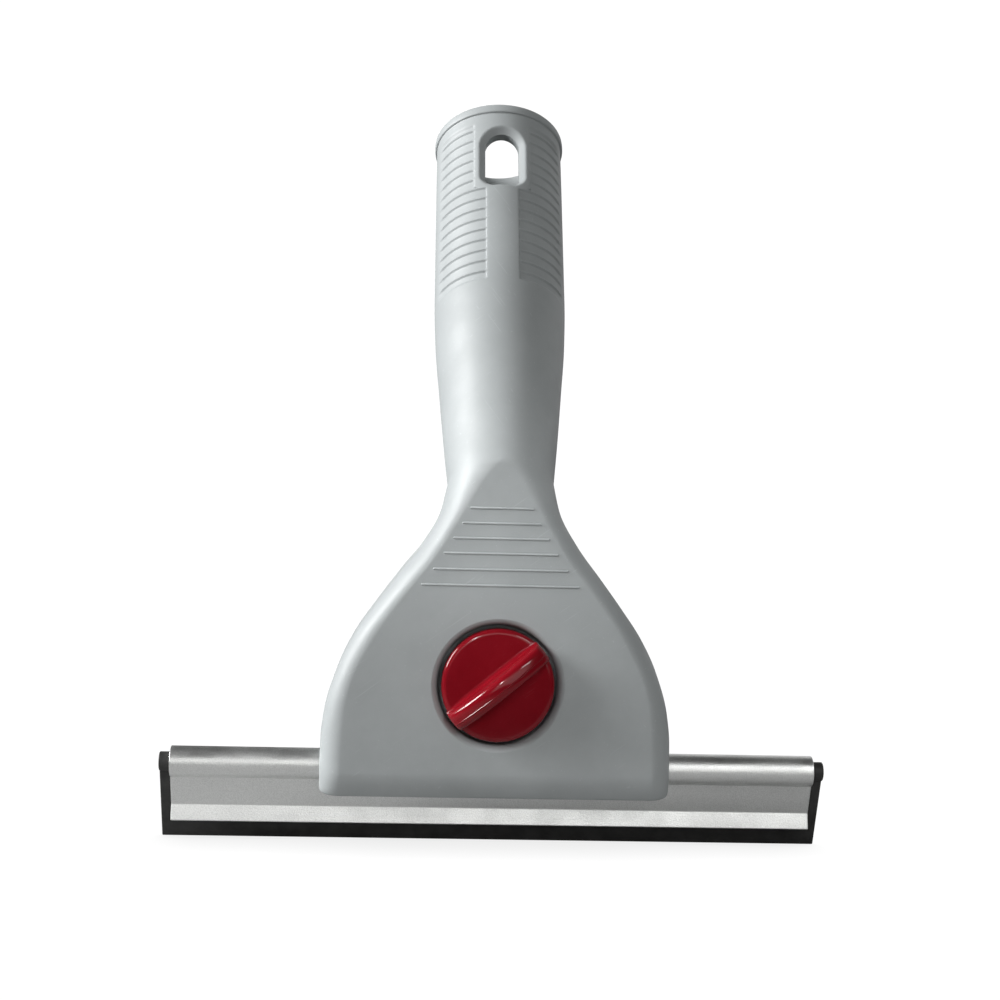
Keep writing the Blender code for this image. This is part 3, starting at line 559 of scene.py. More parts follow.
def across_grip(x, along, out):
    """Puts a turned profile on the grip's axis."""
    return on_grip(x, out, along)


widening, short = rounding(MOUTH_ROUNDING, np.linspace(0, pi / 2 - MOUTH_ARC_SHORT, 9))
socket_end = GRIP_LENGTH - SOCKET_DEPTH
socket = turned("socket", chain(SOCKET_RADIUS - SOCKET_CHAMFER, SOCKET_RADIUS, SOCKET_RADIUS + widening,
                                SOCKET_RADIUS + MOUTH_ROUNDING),
                chain(socket_end, socket_end + SOCKET_CHAMFER, GRIP_LENGTH - short, GRIP_LENGTH + PAST),
                120, across_grip)
corner_x, corner_along = SLOT_HALF - SLOT_CORNER, SLOT_FOOT + SLOT_CORNER
slot_outline = chain(round_arc((0, SLOT_ARCH), SLOT_HALF + SLOT_INSET, 0, pi, 40),
                     round_arc((-corner_x, corner_along), SLOT_CORNER + SLOT_INSET, pi, 3 * pi / 2, 12),
                     round_arc((corner_x, corner_along), SLOT_CORNER + SLOT_INSET, -pi / 2, 0, 12))
slot = pushed("slot", slot_outline, -GRIP_RADIUS - PAST, GRIP_RADIUS + PAST, on_grip)

# %% Cut the handle
carve(handle, [front_hollow, back_hollow, split, bar_space, recess, bolt_hole, socket, slot], sharp=38)
count(handle)

# %% [markdown]
# ## Raised lines on the head
#
# Six thin lines stand on the flat face above the knob. Each is a bar with a half-round back and ball ends,
# half sunk in the face. One line is a capsule: circles whose radius follows a quarter circle at both ends.

# %% The six lines
LINE_HEIGHTS = mm(39.2, 35.85, 32.5, 29.15, 25.6, 22.1)
LINE_HALVES = mm(7.1, 8.8, 10.7, 12.7, 15.0, 17.5)
LINE_RADIUS = 0.27 * MM


def capsule(half, height):
    """A bar along X with ball ends: over each end s runs from 0 to 1, and the radius is the line's radius
    times the root of 1 - s squared."""
    end = np.cos(np.linspace(pi, 0, 25))
    body = np.sign(end) * (half - LINE_RADIUS) + end * LINE_RADIUS
    radius = LINE_RADIUS * np.sqrt(np.maximum(1 - end ** 2, 0))[:, None]
    angle = np.linspace(0, 2 * pi, 16, endpoint=False)[None, :]
    return on_head(body[:, None], radius * np.cos(angle), height + radius * np.sin(angle))


line_points = np.stack([capsule(half, height) for half, height in zip(LINE_HALVES, LINE_HEIGHTS)])
lines = grid_mesh("raised_lines", line_points, ends=False, sharp=180)
count(lines)

# %% [markdown]
# ## The clamp knob
#
# The knob is a glossy disc with a tall finger rib across it. The disc is turned from a profile with a
# quarter-round rim. The rib is a section carried along the disc's width: a hollow curve where it meets the
# disc, sides that lean in a little so that it leaves the mould, and round upper edges. Its height follows
# an arch from rim to rim.

# %% The disc
FLAT_RINGS = np.array([0.55, 0.2])
rim = np.linspace(0, pi / 2, 14)
knob_back = KNOB_SINK + KNOB_THICKNESS
back_short, back_draw = rounding(KNOB_BACK_EDGE, rim[::3])
front_draw, front_short = rounding(KNOB_EDGE, rim)
knob = turned("clamp_knob", chain(KNOB_RADIUS - back_draw, KNOB_RADIUS - front_draw,
                                  KNOB_RADIUS * FLAT_RINGS),
              chain(knob_back - back_short, KNOB_SINK + front_short, KNOB_SINK, KNOB_SINK), 160)

# %% The finger rib
RIB_REACH, RIB_FOOT, RIB_DOME, RIB_FILLET, RIB_SHIFT = mm(12.8, 2.2, 1.5, 1.0, 0.3)
RIB_HEIGHT, RIB_END_HEIGHT, RIB_ARCH_HALF, RIB_SUNK, RIB_OVERLAP = mm(6.6, 2.7, 12.4, 2.4, 0.02)
RIB_DRAFT, RIB_END, RIB_SQUARE, RIB_STATIONS = 0.01, 0.09, 2.6, 61
FILLET_SHARE, DOME_SHARE = 0.2, 0.7
FINGER_ANGLE = radians(39.5)


def finger_rib():
    """Shares of the reach along the rib, and a section up one side and down the other: a hollow curve, a
    side that leans in by the draft, and a crown, half a superellipse: cos and sin to the power of 2 over
    its squareness. The crown's height is part of a circle through the rib's two ends and its top. Near the
    ends it drops by r (1 - cos t), and the ends follow the knob's round rim."""
    tip = np.linspace(0, pi / 2, 9)[1:]
    last = 1 - RIB_END + RIB_END * np.sin(tip)
    middle = np.sin(np.linspace(-pi / 2, pi / 2, RIB_STATIONS)) * (1 - RIB_END)
    share = chain(-last[::-1], middle, last)[:, None]
    drop = RIB_END * RIB_REACH * (1 - np.cos(tip))
    drop = chain(drop[::-1], np.zeros(RIB_STATIONS), drop)[:, None]
    rise = RIB_HEIGHT - RIB_END_HEIGHT
    bow = (RIB_ARCH_HALF ** 2 + rise ** 2) / (2 * rise)
    crown = RIB_HEIGHT - bow + np.sqrt(bow ** 2 - (share * RIB_REACH) ** 2) - drop
    fillet = np.minimum(RIB_FILLET, FILLET_SHARE * crown)
    dome = np.minimum(RIB_DOME, DOME_SHARE * crown)
    foot_rise, foot_out = rounding(fillet, np.linspace(0, pi / 2, 9)[None])
    top, power = np.linspace(0, pi / 2, 22)[None], 2 / RIB_SQUARE
    crown_half = (RIB_FOOT - RIB_DRAFT * (crown - dome)) * np.abs(np.cos(top)) ** power
    across = np.concatenate((RIB_FOOT + foot_out, crown_half), axis=1)
    lift = np.concatenate((foot_rise - RIB_OVERLAP, crown - dome * (1 - np.sin(top) ** power)), axis=1)
    sunk = np.full_like(crown, -RIB_SUNK)
    across = np.concatenate((across[:, :1], across, -across[:, -2::-1], -across[:, :1]), axis=1)
    lift = np.concatenate((sunk, lift, lift[:, -2::-1], sunk), axis=1)
    across = across - RIB_SHIFT * np.clip(lift / crown, 0, 1)
    station = share * np.sqrt(RIB_REACH ** 2 - across ** 2)
    return on_head(station * cos(FINGER_ANGLE) - across * sin(FINGER_ANGLE), KNOB_SINK - lift,
                   station * sin(FINGER_ANGLE) + across * cos(FINGER_ANGLE))


carve(knob, [grid_mesh("finger_rib", finger_rib())], "UNION", "EXACT", sharp=38)


# %% The pocket of the bolt's head, and a level face
NEARLY_ALONG = 0.9999


def hexagon(flats):
    """Corners of a hexagon with two flats upright, as (x, z)."""
    turn = np.radians(np.arange(6) * 60 + 30)
    return np.stack((np.cos(turn), np.sin(turn)), axis=-1) * flats / sqrt(3)


def shade_flat(item, direction):
    """Shades flat the faces whose normal lies along a direction, so that a curve beside them can't bend
    their light, and gives their number."""
    polygons = item.data.polygons
    normals, smooth = np.empty(3 * len(polygons)), np.empty(len(polygons), dtype=bool)
    polygons.foreach_get("normal", normals)
    polygons.foreach_get("use_smooth", smooth)
    level = normals.reshape(-1, 3) @ np.array(direction) > NEARLY_ALONG
    polygons.foreach_set("use_smooth", smooth & ~level)
    return int(level.sum())


bolt_pocket = pushed("bolt_pocket", hexagon(BOLT_HEAD_FLATS + 2 * GAP), knob_back - BOLT_HEAD - GAP,
                     knob_back + MM)
carve(knob, [bolt_pocket], sharp=38)
print("level faces:", shade_flat(knob, (0.0, -1.0, 0.0)))
count(knob)

# %% [markdown]
# ## Channel and rubber
#
# The channel is an extruded aluminium section: a bead that grips the rubber's bulb, a web of two thin walls
# and two lips that flare out. A real one is sawn to length, so its ends get a tiny chamfer. The rubber has
# a bulb on top and a flat strip with a square working edge. Both are one section carried along X.

# %% Section tools
SAME_POINT = 0.0001 * MM
CORNER_SHARE = 0.45


def rounded(outline, radius):
    """Rounds an outline's corners: (1 - t)^2 A + 2 t (1 - t) B + t^2 C for each corner B, where A and C lie
    a radius away from it on its two sides."""
    points = np.array(outline)
    before, after = np.roll(points, 1, axis=0) - points, np.roll(points, -1, axis=0) - points
    length_before, length_after = np.linalg.norm(before, axis=1), np.linalg.norm(after, axis=1)
    reach = np.minimum(radius, CORNER_SHARE * np.minimum(length_before, length_after))[:, None]
    start = points + before / length_before[:, None] * reach
    end = points + after / length_after[:, None] * reach
    share = np.linspace(0, 1, 5)[None, :, None]
    curve = ((1 - share) ** 2 * start[:, None] + 2 * share * (1 - share) * points[:, None]
             + share ** 2 * end[:, None])
    return curve.reshape(-1, 2)


def carried(name, outline, length, chamfer):
    """A section along X from end to end, drawn in along its normals over a chamfer at both ends."""
    outline = outline[np.linalg.norm(outline - np.roll(outline, 1, axis=0), axis=1) > SAME_POINT]
    end = length / 2
    x = chain(-end, np.linspace(-end + chamfer, end - chamfer, 30), end)
    draw = np.zeros(len(x))
    draw[0] = draw[-1] = chamfer
    ring = outline[None] - outline_normals(outline)[None] * draw[:, None, None]
    return grid_mesh(name, on_bar(x[:, None], ring[..., 0], ring[..., 1]))


# %% The channel
BEAD_BORE, WEB_BORE = BEAD_RADIUS - CHANNEL_WALL, WEB_HALF - CHANNEL_WALL
WEB_START, LIP_CORNER, CHANNEL_CHAMFER = mm(-5.0, 0.22, 0.12)
flare = sqrt(LIP_LENGTH ** 2 + LIP_SPREAD ** 2)
shift = CHANNEL_WALL * (flare - LIP_LENGTH) / LIP_SPREAD
lip_end = (WEB_HALF + LIP_SPREAD, -WEB_REACH - LIP_LENGTH)
lip_inside = (lip_end[0] - CHANNEL_WALL * LIP_LENGTH / flare, lip_end[1] - CHANNEL_WALL * LIP_SPREAD / flare)
lip = [(WEB_HALF, WEB_START), (WEB_HALF, -WEB_REACH), lip_end, lip_inside, (WEB_BORE, -WEB_REACH - shift),
       (WEB_BORE, WEB_START)]
lip = rounded(lip, LIP_CORNER)[3:-3]
channel_outline = chain(open_ring(BEAD_RADIUS, WEB_HALF, 64), lip * (-1, 1),
                        open_ring(BEAD_BORE, WEB_BORE, 48)[::-1], lip[::-1])
channel = carried("channel_profile", channel_outline, BAR_LENGTH, CHANNEL_CHAMFER)
count(channel)

# %% The rubber
RUBBER_EDGE, RUBBER_CHAMFER = mm(0.12, 0.15)
edge_x, edge_up = RUBBER_HALF - RUBBER_EDGE, -BLADE_REACH + RUBBER_EDGE
rubber_outline = chain(open_ring(BULB_RADIUS, RUBBER_HALF, 48),
                       round_arc((-edge_x, edge_up), RUBBER_EDGE, pi, 3 * pi / 2, 4),
                       round_arc((edge_x, edge_up), RUBBER_EDGE, -pi / 2, 0, 4))
rubber = carried("rubber_strip", rubber_outline, BLADE_LENGTH, RUBBER_CHAMFER)
count(rubber)

# %% [markdown]
# ## Jaw, bolt and nut
#
# Seen from behind, a second moulding closes the head: a plate in the shell's hollow, a block behind the
# channel and a boss with a hexagonal pocket. The clamp bolt comes through it with its thread showing, and
# its nut sits in the pocket. The jaw is joined from prisms with rounded edges and a turned boss.

# %% The jaw's plate and block
PLATE_FRONT, PLATE_GAP, PLATE_CORNER, PLATE_FRONT_EDGE, BLOCK_CORNER = mm(10.2, 0.4, 0.8, 0.3, 1.0)
block_top, block_front = SPLIT_HEIGHT - GAP, BAR_DEPTH + GAP / 2


def along_head(depth, x, height):
    """Puts a side view's outline at places along X."""
    return on_head(x, depth, height)


jaw_outline = hollow_outline(block_top - BEAD_RADIUS / 2, JAW_HEIGHT)
jaw_outline[:, 0] -= np.sign(jaw_outline[:, 0]) * PLATE_GAP
jaw = pushed("rear_jaw_moulding", rounded(jaw_outline, PLATE_CORNER), PLATE_FRONT, HEAD_DEPTH,
             edges=(PLATE_FRONT_EDGE, PLATE_CORNER))
block_outline = rounded([(block_front, HEAD_BOTTOM), (HEAD_DEPTH, HEAD_BOTTOM), (HEAD_DEPTH, block_top),
                         (block_front, block_top)], BLOCK_CORNER)
block = pushed("jaw_block", block_outline, -HEAD_WIDTH / 2, HEAD_WIDTH / 2, along_head, (BLOCK_CORNER,) * 2)

# %% The jaw's boss, pocket and hole
BOSS_WALL, BOSS_START, BOSS_FOOT, BOSS_BRIM, BOSS_OVERLAP, POCKET_CORNER = mm(2.7, 14, 1.2, 1.0, 0.01, 0.35)
BOSS_RADIUS, BOSS_END = NUT_FLATS / sqrt(3) + BOSS_WALL, BOLT_END + GAP
bend = np.linspace(0, pi / 2, 8)
foot_rise, foot_out = rounding(BOSS_FOOT, bend)
brim_draw, brim_short = rounding(BOSS_BRIM, bend)
boss = turned("jaw_boss", chain(BOSS_RADIUS + BOSS_FOOT, BOSS_RADIUS + foot_out, BOSS_RADIUS - brim_draw,
                                BOSS_RADIUS - 2 * BOSS_BRIM),
              chain(BOSS_START, HEAD_DEPTH - BOSS_OVERLAP + foot_rise, BOSS_END - brim_short, BOSS_END), 96)
carve(jaw, [block, boss], "UNION")
pocket_outline = rounded(hexagon(NUT_FLATS + 2 * GAP), POCKET_CORNER)
pocket = pushed("nut_pocket", pocket_outline, NUT_FRONT - GAP, BOSS_END + MM)
hole = turned("jaw_hole", [BOLT_RADIUS + GAP] * 2, [PLATE_FRONT - MM, NUT_FRONT], 64)
carve(jaw, [pocket, hole, bar_cutter("jaw_bar_space")])
count(jaw)

# %% The bolt
PITCH, THREAD_DEPTH, BOLT_TIP, SHANK_START = mm(1.0, 0.45, 0.8, 1.2)
RING_FRONT, RING_THICKNESS, GROOVE_DEPTH = mm(9.1, 0.8, 0.7)
GROOVE_STEP, THREAD_START = mm(0.01, 0.05)
THREAD_ROWS, THREAD_COLUMNS, FLANK_SLOPE, ROOT_SHARE = 14, 56, 1.5, 0.25


def threaded_shank():
    """Radius over depth and angle: the shank's radius, less the groove's depth in the groove, less the
    thread's depth times a trapezium wave of depth over pitch minus the angle's share of a turn, and less a
    cone at the tip."""
    groove = chain(RING_FRONT - GAP / 2, RING_FRONT + RING_THICKNESS + GAP / 2)
    thread = np.arange(groove[1] + THREAD_START, BOLT_END, PITCH / THREAD_ROWS)
    depth = chain(knob_back - SHANK_START, groove[0] - GROOVE_STEP, groove, thread, BOLT_END)[:, None]
    angle = np.linspace(0, 2 * pi, THREAD_COLUMNS, endpoint=False)[None, :]
    wave = np.abs((depth / PITCH - angle / (2 * pi)) % 1.0 * 2 - 1)
    inside = (depth >= groove[0]) & (depth <= groove[1])
    wave = np.clip(wave * FLANK_SLOPE - ROOT_SHARE, 0, 1)
    thread_depth = THREAD_DEPTH * wave * ease(depth, groove[1], groove[1] + PITCH)
    radius = BOLT_RADIUS - GROOVE_DEPTH * inside - thread_depth
    radius = np.minimum(radius, BOLT_RADIUS - np.clip(depth - BOLT_END + BOLT_TIP, 0, None))
    return on_head(radius * np.cos(angle), depth, radius * np.sin(angle))


bolt = grid_mesh("clamp_bolt_threaded", threaded_shank(), sharp=50)
bolt_head = pushed("bolt_head", hexagon(BOLT_HEAD_FLATS), knob_back - BOLT_HEAD, knob_back)
carve(bolt, [bolt_head], "UNION", "EXACT")
count(bolt)

# %% The nut
NUT_CHAMFER, BORE_PLAY = mm(0.35, 0.03)
CONE_SLOPE, CONE_SHARE = 0.577, 0.97


def hex_nut():
    """Radius over angle: half the flats over the cosine of the angle from the nearest flat, but no more
    than a cone of 30 degrees that starts a little inside the flats at both faces. The bore comes last."""
    angle = np.linspace(0, 2 * pi, 97)[:-1][None, :]
    off = np.abs((np.degrees(angle) + 30) % 60 - 30)
    corner = NUT_FLATS / 2 / np.cos(np.radians(off))
    thick, steps = NUT_BACK - NUT_FRONT, mm(0, 0.12, 0.25, 0.45)
    lift = chain(steps, thick - steps[::-1])[:, None]
    cone = NUT_FLATS / 2 * CONE_SHARE + np.minimum(lift, thick - lift) / CONE_SLOPE
    inner_lift = chain(thick, thick - NUT_CHAMFER, NUT_CHAMFER, 0)[:, None]
    inner = BOLT_RADIUS + BORE_PLAY + chain(NUT_CHAMFER, 0, 0, NUT_CHAMFER)[:, None] + 0 * angle
    radius, lift = np.concatenate((np.minimum(corner, cone), inner)), np.concatenate((lift, inner_lift))
    return on_head(radius * np.cos(angle), NUT_FRONT + lift, radius * np.sin(angle))


nut = grid_mesh("jaw_nut_hex", hex_nut(), rows_close=True, sharp=25)
count(nut)

# %% [markdown]
# ## What each piece stands for
#
# Every piece rides on a CAD body, so it moves with the joints, and the CAD node it stands for is hidden.
# The thrust washer and the retaining ring keep their CAD meshes, because their plain shape is right.

# %% Bodies and nodes
for piece, body, node, slot_name in ((handle, "handle_body", "handle", "grey_plastic"),
                                     (knob, "knob_body", "knob", "red_plastic"),
                                     (bolt, "knob_body", "clamp_bolt", "steel"),
                                     (jaw, "jaw_body", "rear_jaw", "jaw_plastic"),
                                     (nut, "jaw_body", "jaw_nut", "steel"),
                                     (channel, "bar_body", "channel", "aluminium"),
                                     (rubber, "rubber_body", "rubber_blade", "black_rubber")):
    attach(piece, body)
    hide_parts(node)
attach(lines, "handle_body")
print("pieces:", [piece.name for piece in (handle, lines, knob, bolt, jaw, nut, channel, rubber)])

# %% [markdown]
# ## Finishes
#
# Real surfaces are never one flat value. Each finish mixes two close colours with a soft mottle, varies its
# roughness where hands have polished it, and carries a fine grain as a bump. The effects that several
# finishes share are node groups, built once, that read the object's own coordinates.

# %% Helper for nodes
class Nodes:
    """A node tree with short calls. An input gets a link where a socket is given, or else the value."""

    def __init__(self, tree):
        self.tree = tree
        tree.nodes.clear()

    def feed(self, socket, value):
        """Links a socket, or sets its value."""
        if isinstance(value, bpy.types.NodeSocket):
            self.tree.links.new(value, socket)
        else:
            socket.default_value = value

    def add(self, kind, inputs=(), **settings):
        """Adds a shader node. Its settings are set first, then its inputs."""
        node = self.tree.nodes.new("ShaderNode" + kind)
        for key, value in settings.items():
            setattr(node, key, value)
        for key, value in dict(inputs).items():
            self.feed(node.inputs[key], value)
        return node

    def put(self, kind, inputs=(), output=0, **settings):
        """Adds a shader node and gives one of its outputs."""
        return self.add(kind, inputs, **settings).outputs[output]

    def maths(self, operation, first, second=0.0, third=0.0):
        """One step of arithmetic."""
        return self.put("Math", {0: first, 1: second, 2: third}, operation=operation)

    def smooth_step(self, value, start, end, low=0.0, high=1.0, form="SMOOTHSTEP"):
        """Turns a value that runs from start to end into a smooth step from low to high."""
        return self.put("MapRange", {0: value, 1: start, 2: end, 3: low, 4: high}, interpolation_type=form)

    def straight(self, value, low, high, start=0.0, end=1.0):
        """Turns a value that runs from start to end into one that runs evenly from low to high."""
        return self.smooth_step(value, start, end, low, high, form="LINEAR")

    def dot(self, vector, direction):
        """How far a vector reaches along a direction."""
        return self.put("VectorMath", {0: vector, 1: tuple(direction)}, "Value", operation="DOT_PRODUCT")

    def noise(self, vector, scale=1.0, detail=2.0, roughness=0.5):
        """A cloudy pattern with one blob for each unit of the vector."""
        inputs = {"Vector": vector, "Scale": scale, "Detail": detail, "Roughness": roughness}
        return self.put("TexNoise", inputs, "Fac")

    def scaled(self, vector, size):
        """The vector divided by a size, so that a pattern of one unit gets that size."""
        share = self.maths("DIVIDE", 1.0, size)
        return self.put("VectorMath", {0: vector, "Scale": share}, operation="SCALE")


def new_effect(name, output, **values):
    """An empty shader node group with a Vector, the named values as inputs, and one output."""
    group = bpy.data.node_groups.new(name, "ShaderNodeTree")
    group.interface.new_socket("Vector", in_out="INPUT", socket_type="NodeSocketVector")
    for key, value in values.items():
        group.interface.new_socket(key, in_out="INPUT", socket_type="NodeSocketFloat").default_value = value
    group.interface.new_socket(output, in_out="OUTPUT", socket_type="NodeSocketFloat")
    effect = Nodes(group)
    given, wanted = group.nodes.new("NodeGroupInput").outputs, group.nodes.new("NodeGroupOutput").inputs
    return effect, effect.scaled(given["Vector"], given["Size"]), given, wanted[output]


# %% Shared effects: mottle, grain and scuffs
mottle, near, given, wanted = new_effect("soft_mottle", "Mask", Size=0.01)
mottle.feed(wanted, mottle.smooth_step(mottle.noise(near, detail=4.0, roughness=0.6), 0.32, 0.68))

grain, near, given, wanted = new_effect("fine_grain", "Height", Size=0.0003)
grain.feed(wanted, grain.noise(near, roughness=0.55))

SCUFF_TURNS, SCUFF_THIN, SCUFF_EDGES = (34, -57), 60.0, (0.78, 0.86)
scuffs, near, given, wanted = new_effect("thin_scuffs", "Mask", Size=0.01, Amount=0.5)
streaks = []
for turn in SCUFF_TURNS:
    long_way = scuffs.put("Mapping", {"Vector": near, "Rotation": (0.3, radians(turn), 0.2)})
    narrow = scuffs.put("Mapping", {"Vector": long_way, "Scale": (1.0, SCUFF_THIN, SCUFF_THIN)})
    streaks.append(scuffs.straight(scuffs.noise(narrow, detail=0.0), 0.0, 1.0, *SCUFF_EDGES))
scuffs.feed(wanted, scuffs.maths("MULTIPLY", scuffs.maths("MAXIMUM", *streaks), given["Amount"]))
print("effects:", [effect.tree.name for effect in (mottle, grain, scuffs)])


# %% A finish is a Principled shader fed by the effects
class Finish(Nodes):
    """A material on object coordinates, with short calls for the effects it mixes."""

    def __init__(self, name, sockets=()):
        self.material = bpy.data.materials.new(name)
        self.material.use_nodes = True
        super().__init__(self.material.node_tree)
        self.place = self.put("TexCoord", output="Object")
        self.shader = self.add("BsdfPrincipled", sockets)
        self.add("OutputMaterial", {"Surface": self.shader.outputs[0]})
        self.last_bump = None

    def effect(self, effect, **values):
        """Places a shared effect with its own values."""
        return self.put("Group", {"Vector": self.place, **values}, node_tree=effect.tree)

    def colours(self, mask, *pair):
        """Mixes two colours by a mask. Each is a socket or three numbers."""
        dark, light = (value if isinstance(value, bpy.types.NodeSocket) else (*value, 1.0) for value in pair)
        return self.put("Mix", {0: mask, 6: dark, 7: light}, 2, data_type="RGBA")

    def give(self, socket, value):
        """Links a value to the shader."""
        self.feed(self.shader.inputs[socket], value)

    def bump(self, height, depth):
        """Adds a bump whose full height is a real depth in metres."""
        node = self.add("Bump", {"Strength": 1.0, "Distance": depth, "Height": height})
        if self.last_bump is not None:
            self.feed(node.inputs["Normal"], self.last_bump)
        self.last_bump = node.outputs["Normal"]
        self.give("Normal", self.last_bump)


# %% [markdown]
# ## Grey plastic
#
# The handle is a satin grey moulding with a very fine spark-eroded grain. Handling has smoothed it in
# patches, and a few thin scuffs show paler. A faint parting line runs up both sides of the grip where the
# mould's halves met.

# %% Grey plastic of the handle and the jaw
SCUFF_PALER, PLASTIC_ROUGHNESS = 1.35, (0.60, 0.50)
PLASTIC_GRAIN_DEPTH, PLASTIC_WAVE_DEPTH = 0.000010, 0.000004
SEAM_HALF, SEAM_HEIGHT, SEAM_FADE = mm(0.22, 0.06, 12)


def moulded_plastic(name, dark, light):
    """Satin moulded plastic: mottled colour with paler scuffs, roughness that falls where it was handled,
    and grain."""
    finish = Finish(name)
    patches = finish.effect(mottle, Size=0.016)
    marks = finish.effect(scuffs, Size=0.018, Amount=0.35)
    base, pale = finish.colours(patches, dark, light), [value * SCUFF_PALER for value in light]
    finish.give("Base Color", finish.colours(marks, base, pale))
    finish.give("Roughness", finish.straight(patches, *PLASTIC_ROUGHNESS))
    finish.bump(finish.effect(grain, Size=0.00032), PLASTIC_GRAIN_DEPTH)
    finish.bump(finish.effect(mottle, Size=0.0028), PLASTIC_WAVE_DEPTH)
    return finish


dark_grey = moulded_plastic("jaw_plastic_moulded", (0.300, 0.316, 0.322), (0.335, 0.352, 0.358))
grey = moulded_plastic("grey_plastic_moulded", (0.344, 0.366, 0.371), (0.377, 0.401, 0.406))
from_neck = grey.put("VectorMath", {0: grey.place, 1: tuple(GRIP_PLACE)}, operation="SUBTRACT")
off_seam = grey.maths("ABSOLUTE", grey.dot(from_neck, GRIP_FRONT))
above_neck = grey.straight(grey.dot(from_neck, GRIP_AXIS), 0.0, 1.0, 0.0, SEAM_FADE)
ridge = grey.smooth_step(off_seam, 0.0, SEAM_HALF, 1.0, 0.0)
grey.bump(grey.maths("MULTIPLY", ridge, above_neck), SEAM_HEIGHT)

# %% [markdown]
# ## Red plastic, aluminium, rubber and steel
#
# The knob is polished deep red with a clear sheen and the faint waviness of a moulded gloss, and a parting
# line shows along its finger rib. The channel is satin aluminium with a sparkling grain and faint lines
# along its length from the extrusion die. The rubber is matt black with a little dust, and the fasteners
# are zinc plated, so their shine is cloudy.

# %% Red plastic of the knob
RIB_SEAM_PLACE, RIB_SEAM_HALF, RIB_SEAM_HEIGHT = mm(-0.8, 0.17, 0.12)
RED_ROUGHNESS, RED_WAVE_DEPTH, RIB_SEAM_RISE = (0.10, 0.15), 0.0000035, mm(-0.8, -0.3)
gloss = {"Coat Weight": 0.25, "Coat Roughness": 0.03, "Specular IOR Level": 0.22}
red = Finish("red_plastic_polished", gloss)
cloudy = red.effect(mottle, Size=0.009)
red.give("Base Color", red.colours(cloudy, (0.196, 0.0036, 0.0090), (0.224, 0.0048, 0.0115)))
rubbed = red.effect(scuffs, Size=0.008, Amount=0.3)
red.give("Roughness", red.maths("ADD", red.straight(cloudy, *RED_ROUGHNESS), rubbed))
red.bump(red.effect(mottle, Size=0.0032), RED_WAVE_DEPTH)

across_rib = red.dot(red.place, (-sin(FINGER_ANGLE), 0.0, cos(FINGER_ANGLE)))
off_seam = red.maths("SUBTRACT", across_rib, HEAD_PLACE[2] * cos(FINGER_ANGLE) + RIB_SEAM_PLACE)
thin_line = red.smooth_step(red.maths("ABSOLUTE", off_seam), 0.0, RIB_SEAM_HALF, 1.0, 0.0)
depth = red.put("SeparateXYZ", {0: red.place}, "Y")
over_disc = red.straight(depth, 1.0, 0.0, *(HEAD_PLACE[1] + KNOB_SINK + RIB_SEAM_RISE))
red.bump(red.maths("MULTIPLY", thin_line, over_disc), RIB_SEAM_HEIGHT)
red.give("Coat Normal", red.last_bump)

# %% Aluminium of the channel
SPARKLE_CONTRAST, METAL_ROUGHNESS, SPARKLE_DEPTH = (-0.75, 1.75), (0.34, 0.44), 0.00005
DIE_LINES_LONG, DIE_LINES_SCALE, DIE_LINES_DEPTH = 0.02, 2200.0, 0.000012
metal = Finish("aluminium_satin", {"Metallic": 1.0})
sparkle = metal.effect(grain, Size=0.00026)
contrast = metal.straight(sparkle, *SPARKLE_CONTRAST)
metal.give("Base Color", metal.colours(contrast, (0.78, 0.79, 0.78), (0.95, 0.96, 0.95)))
metal.give("Roughness", metal.straight(metal.effect(mottle, Size=0.006), *METAL_ROUGHNESS))
metal.bump(sparkle, SPARKLE_DEPTH)
stretched = metal.put("Mapping", {"Vector": metal.place, "Scale": (DIE_LINES_LONG, 1.0, 1.0)})
metal.bump(metal.noise(stretched, scale=DIE_LINES_SCALE), DIE_LINES_DEPTH)


# %% Rubber and steel
def cloudy_finish(name, sockets, size, dark, light, smoother, rougher, grain_size, grain_depth):
    """A finish whose colour and roughness follow one mottle, with a grain."""
    finish = Finish(name, sockets)
    mask = finish.effect(mottle, Size=size)
    finish.give("Base Color", finish.colours(mask, dark, light))
    finish.give("Roughness", finish.straight(mask, smoother, rougher))
    finish.bump(finish.effect(grain, Size=grain_size), grain_depth)
    return finish


black = cloudy_finish("rubber_matt", {"Specular IOR Level": 0.4}, 0.0035, (0.0275, 0.0272, 0.0269),
                      (0.0440, 0.0434, 0.0427), 0.50, 0.68, 0.00020, 0.000008)
plated = cloudy_finish("steel_zinc_plated", {"Metallic": 1.0}, 0.0022, (0.50, 0.51, 0.53), (0.66, 0.67, 0.68),
                       0.24, 0.40, 0.00015, 0.000006)


# %% Give each piece its finish
def dress(item, material):
    """Puts a material in every slot of an object, or in a new slot."""
    if not item.data.materials:
        item.data.materials.append(material)
    for place in item.material_slots:
        place.material = material


washer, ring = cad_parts["thrust_washer"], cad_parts["retaining_ring"]
for item, finish in ((handle, grey), (lines, grey), (knob, red), (jaw, dark_grey), (channel, metal),
                     (rubber, black), (bolt, plated), (nut, plated), (washer, plated), (ring, plated)):
    dress(item, finish.material)
print("finishes:", [material.name for material in bpy.data.materials if material.users])
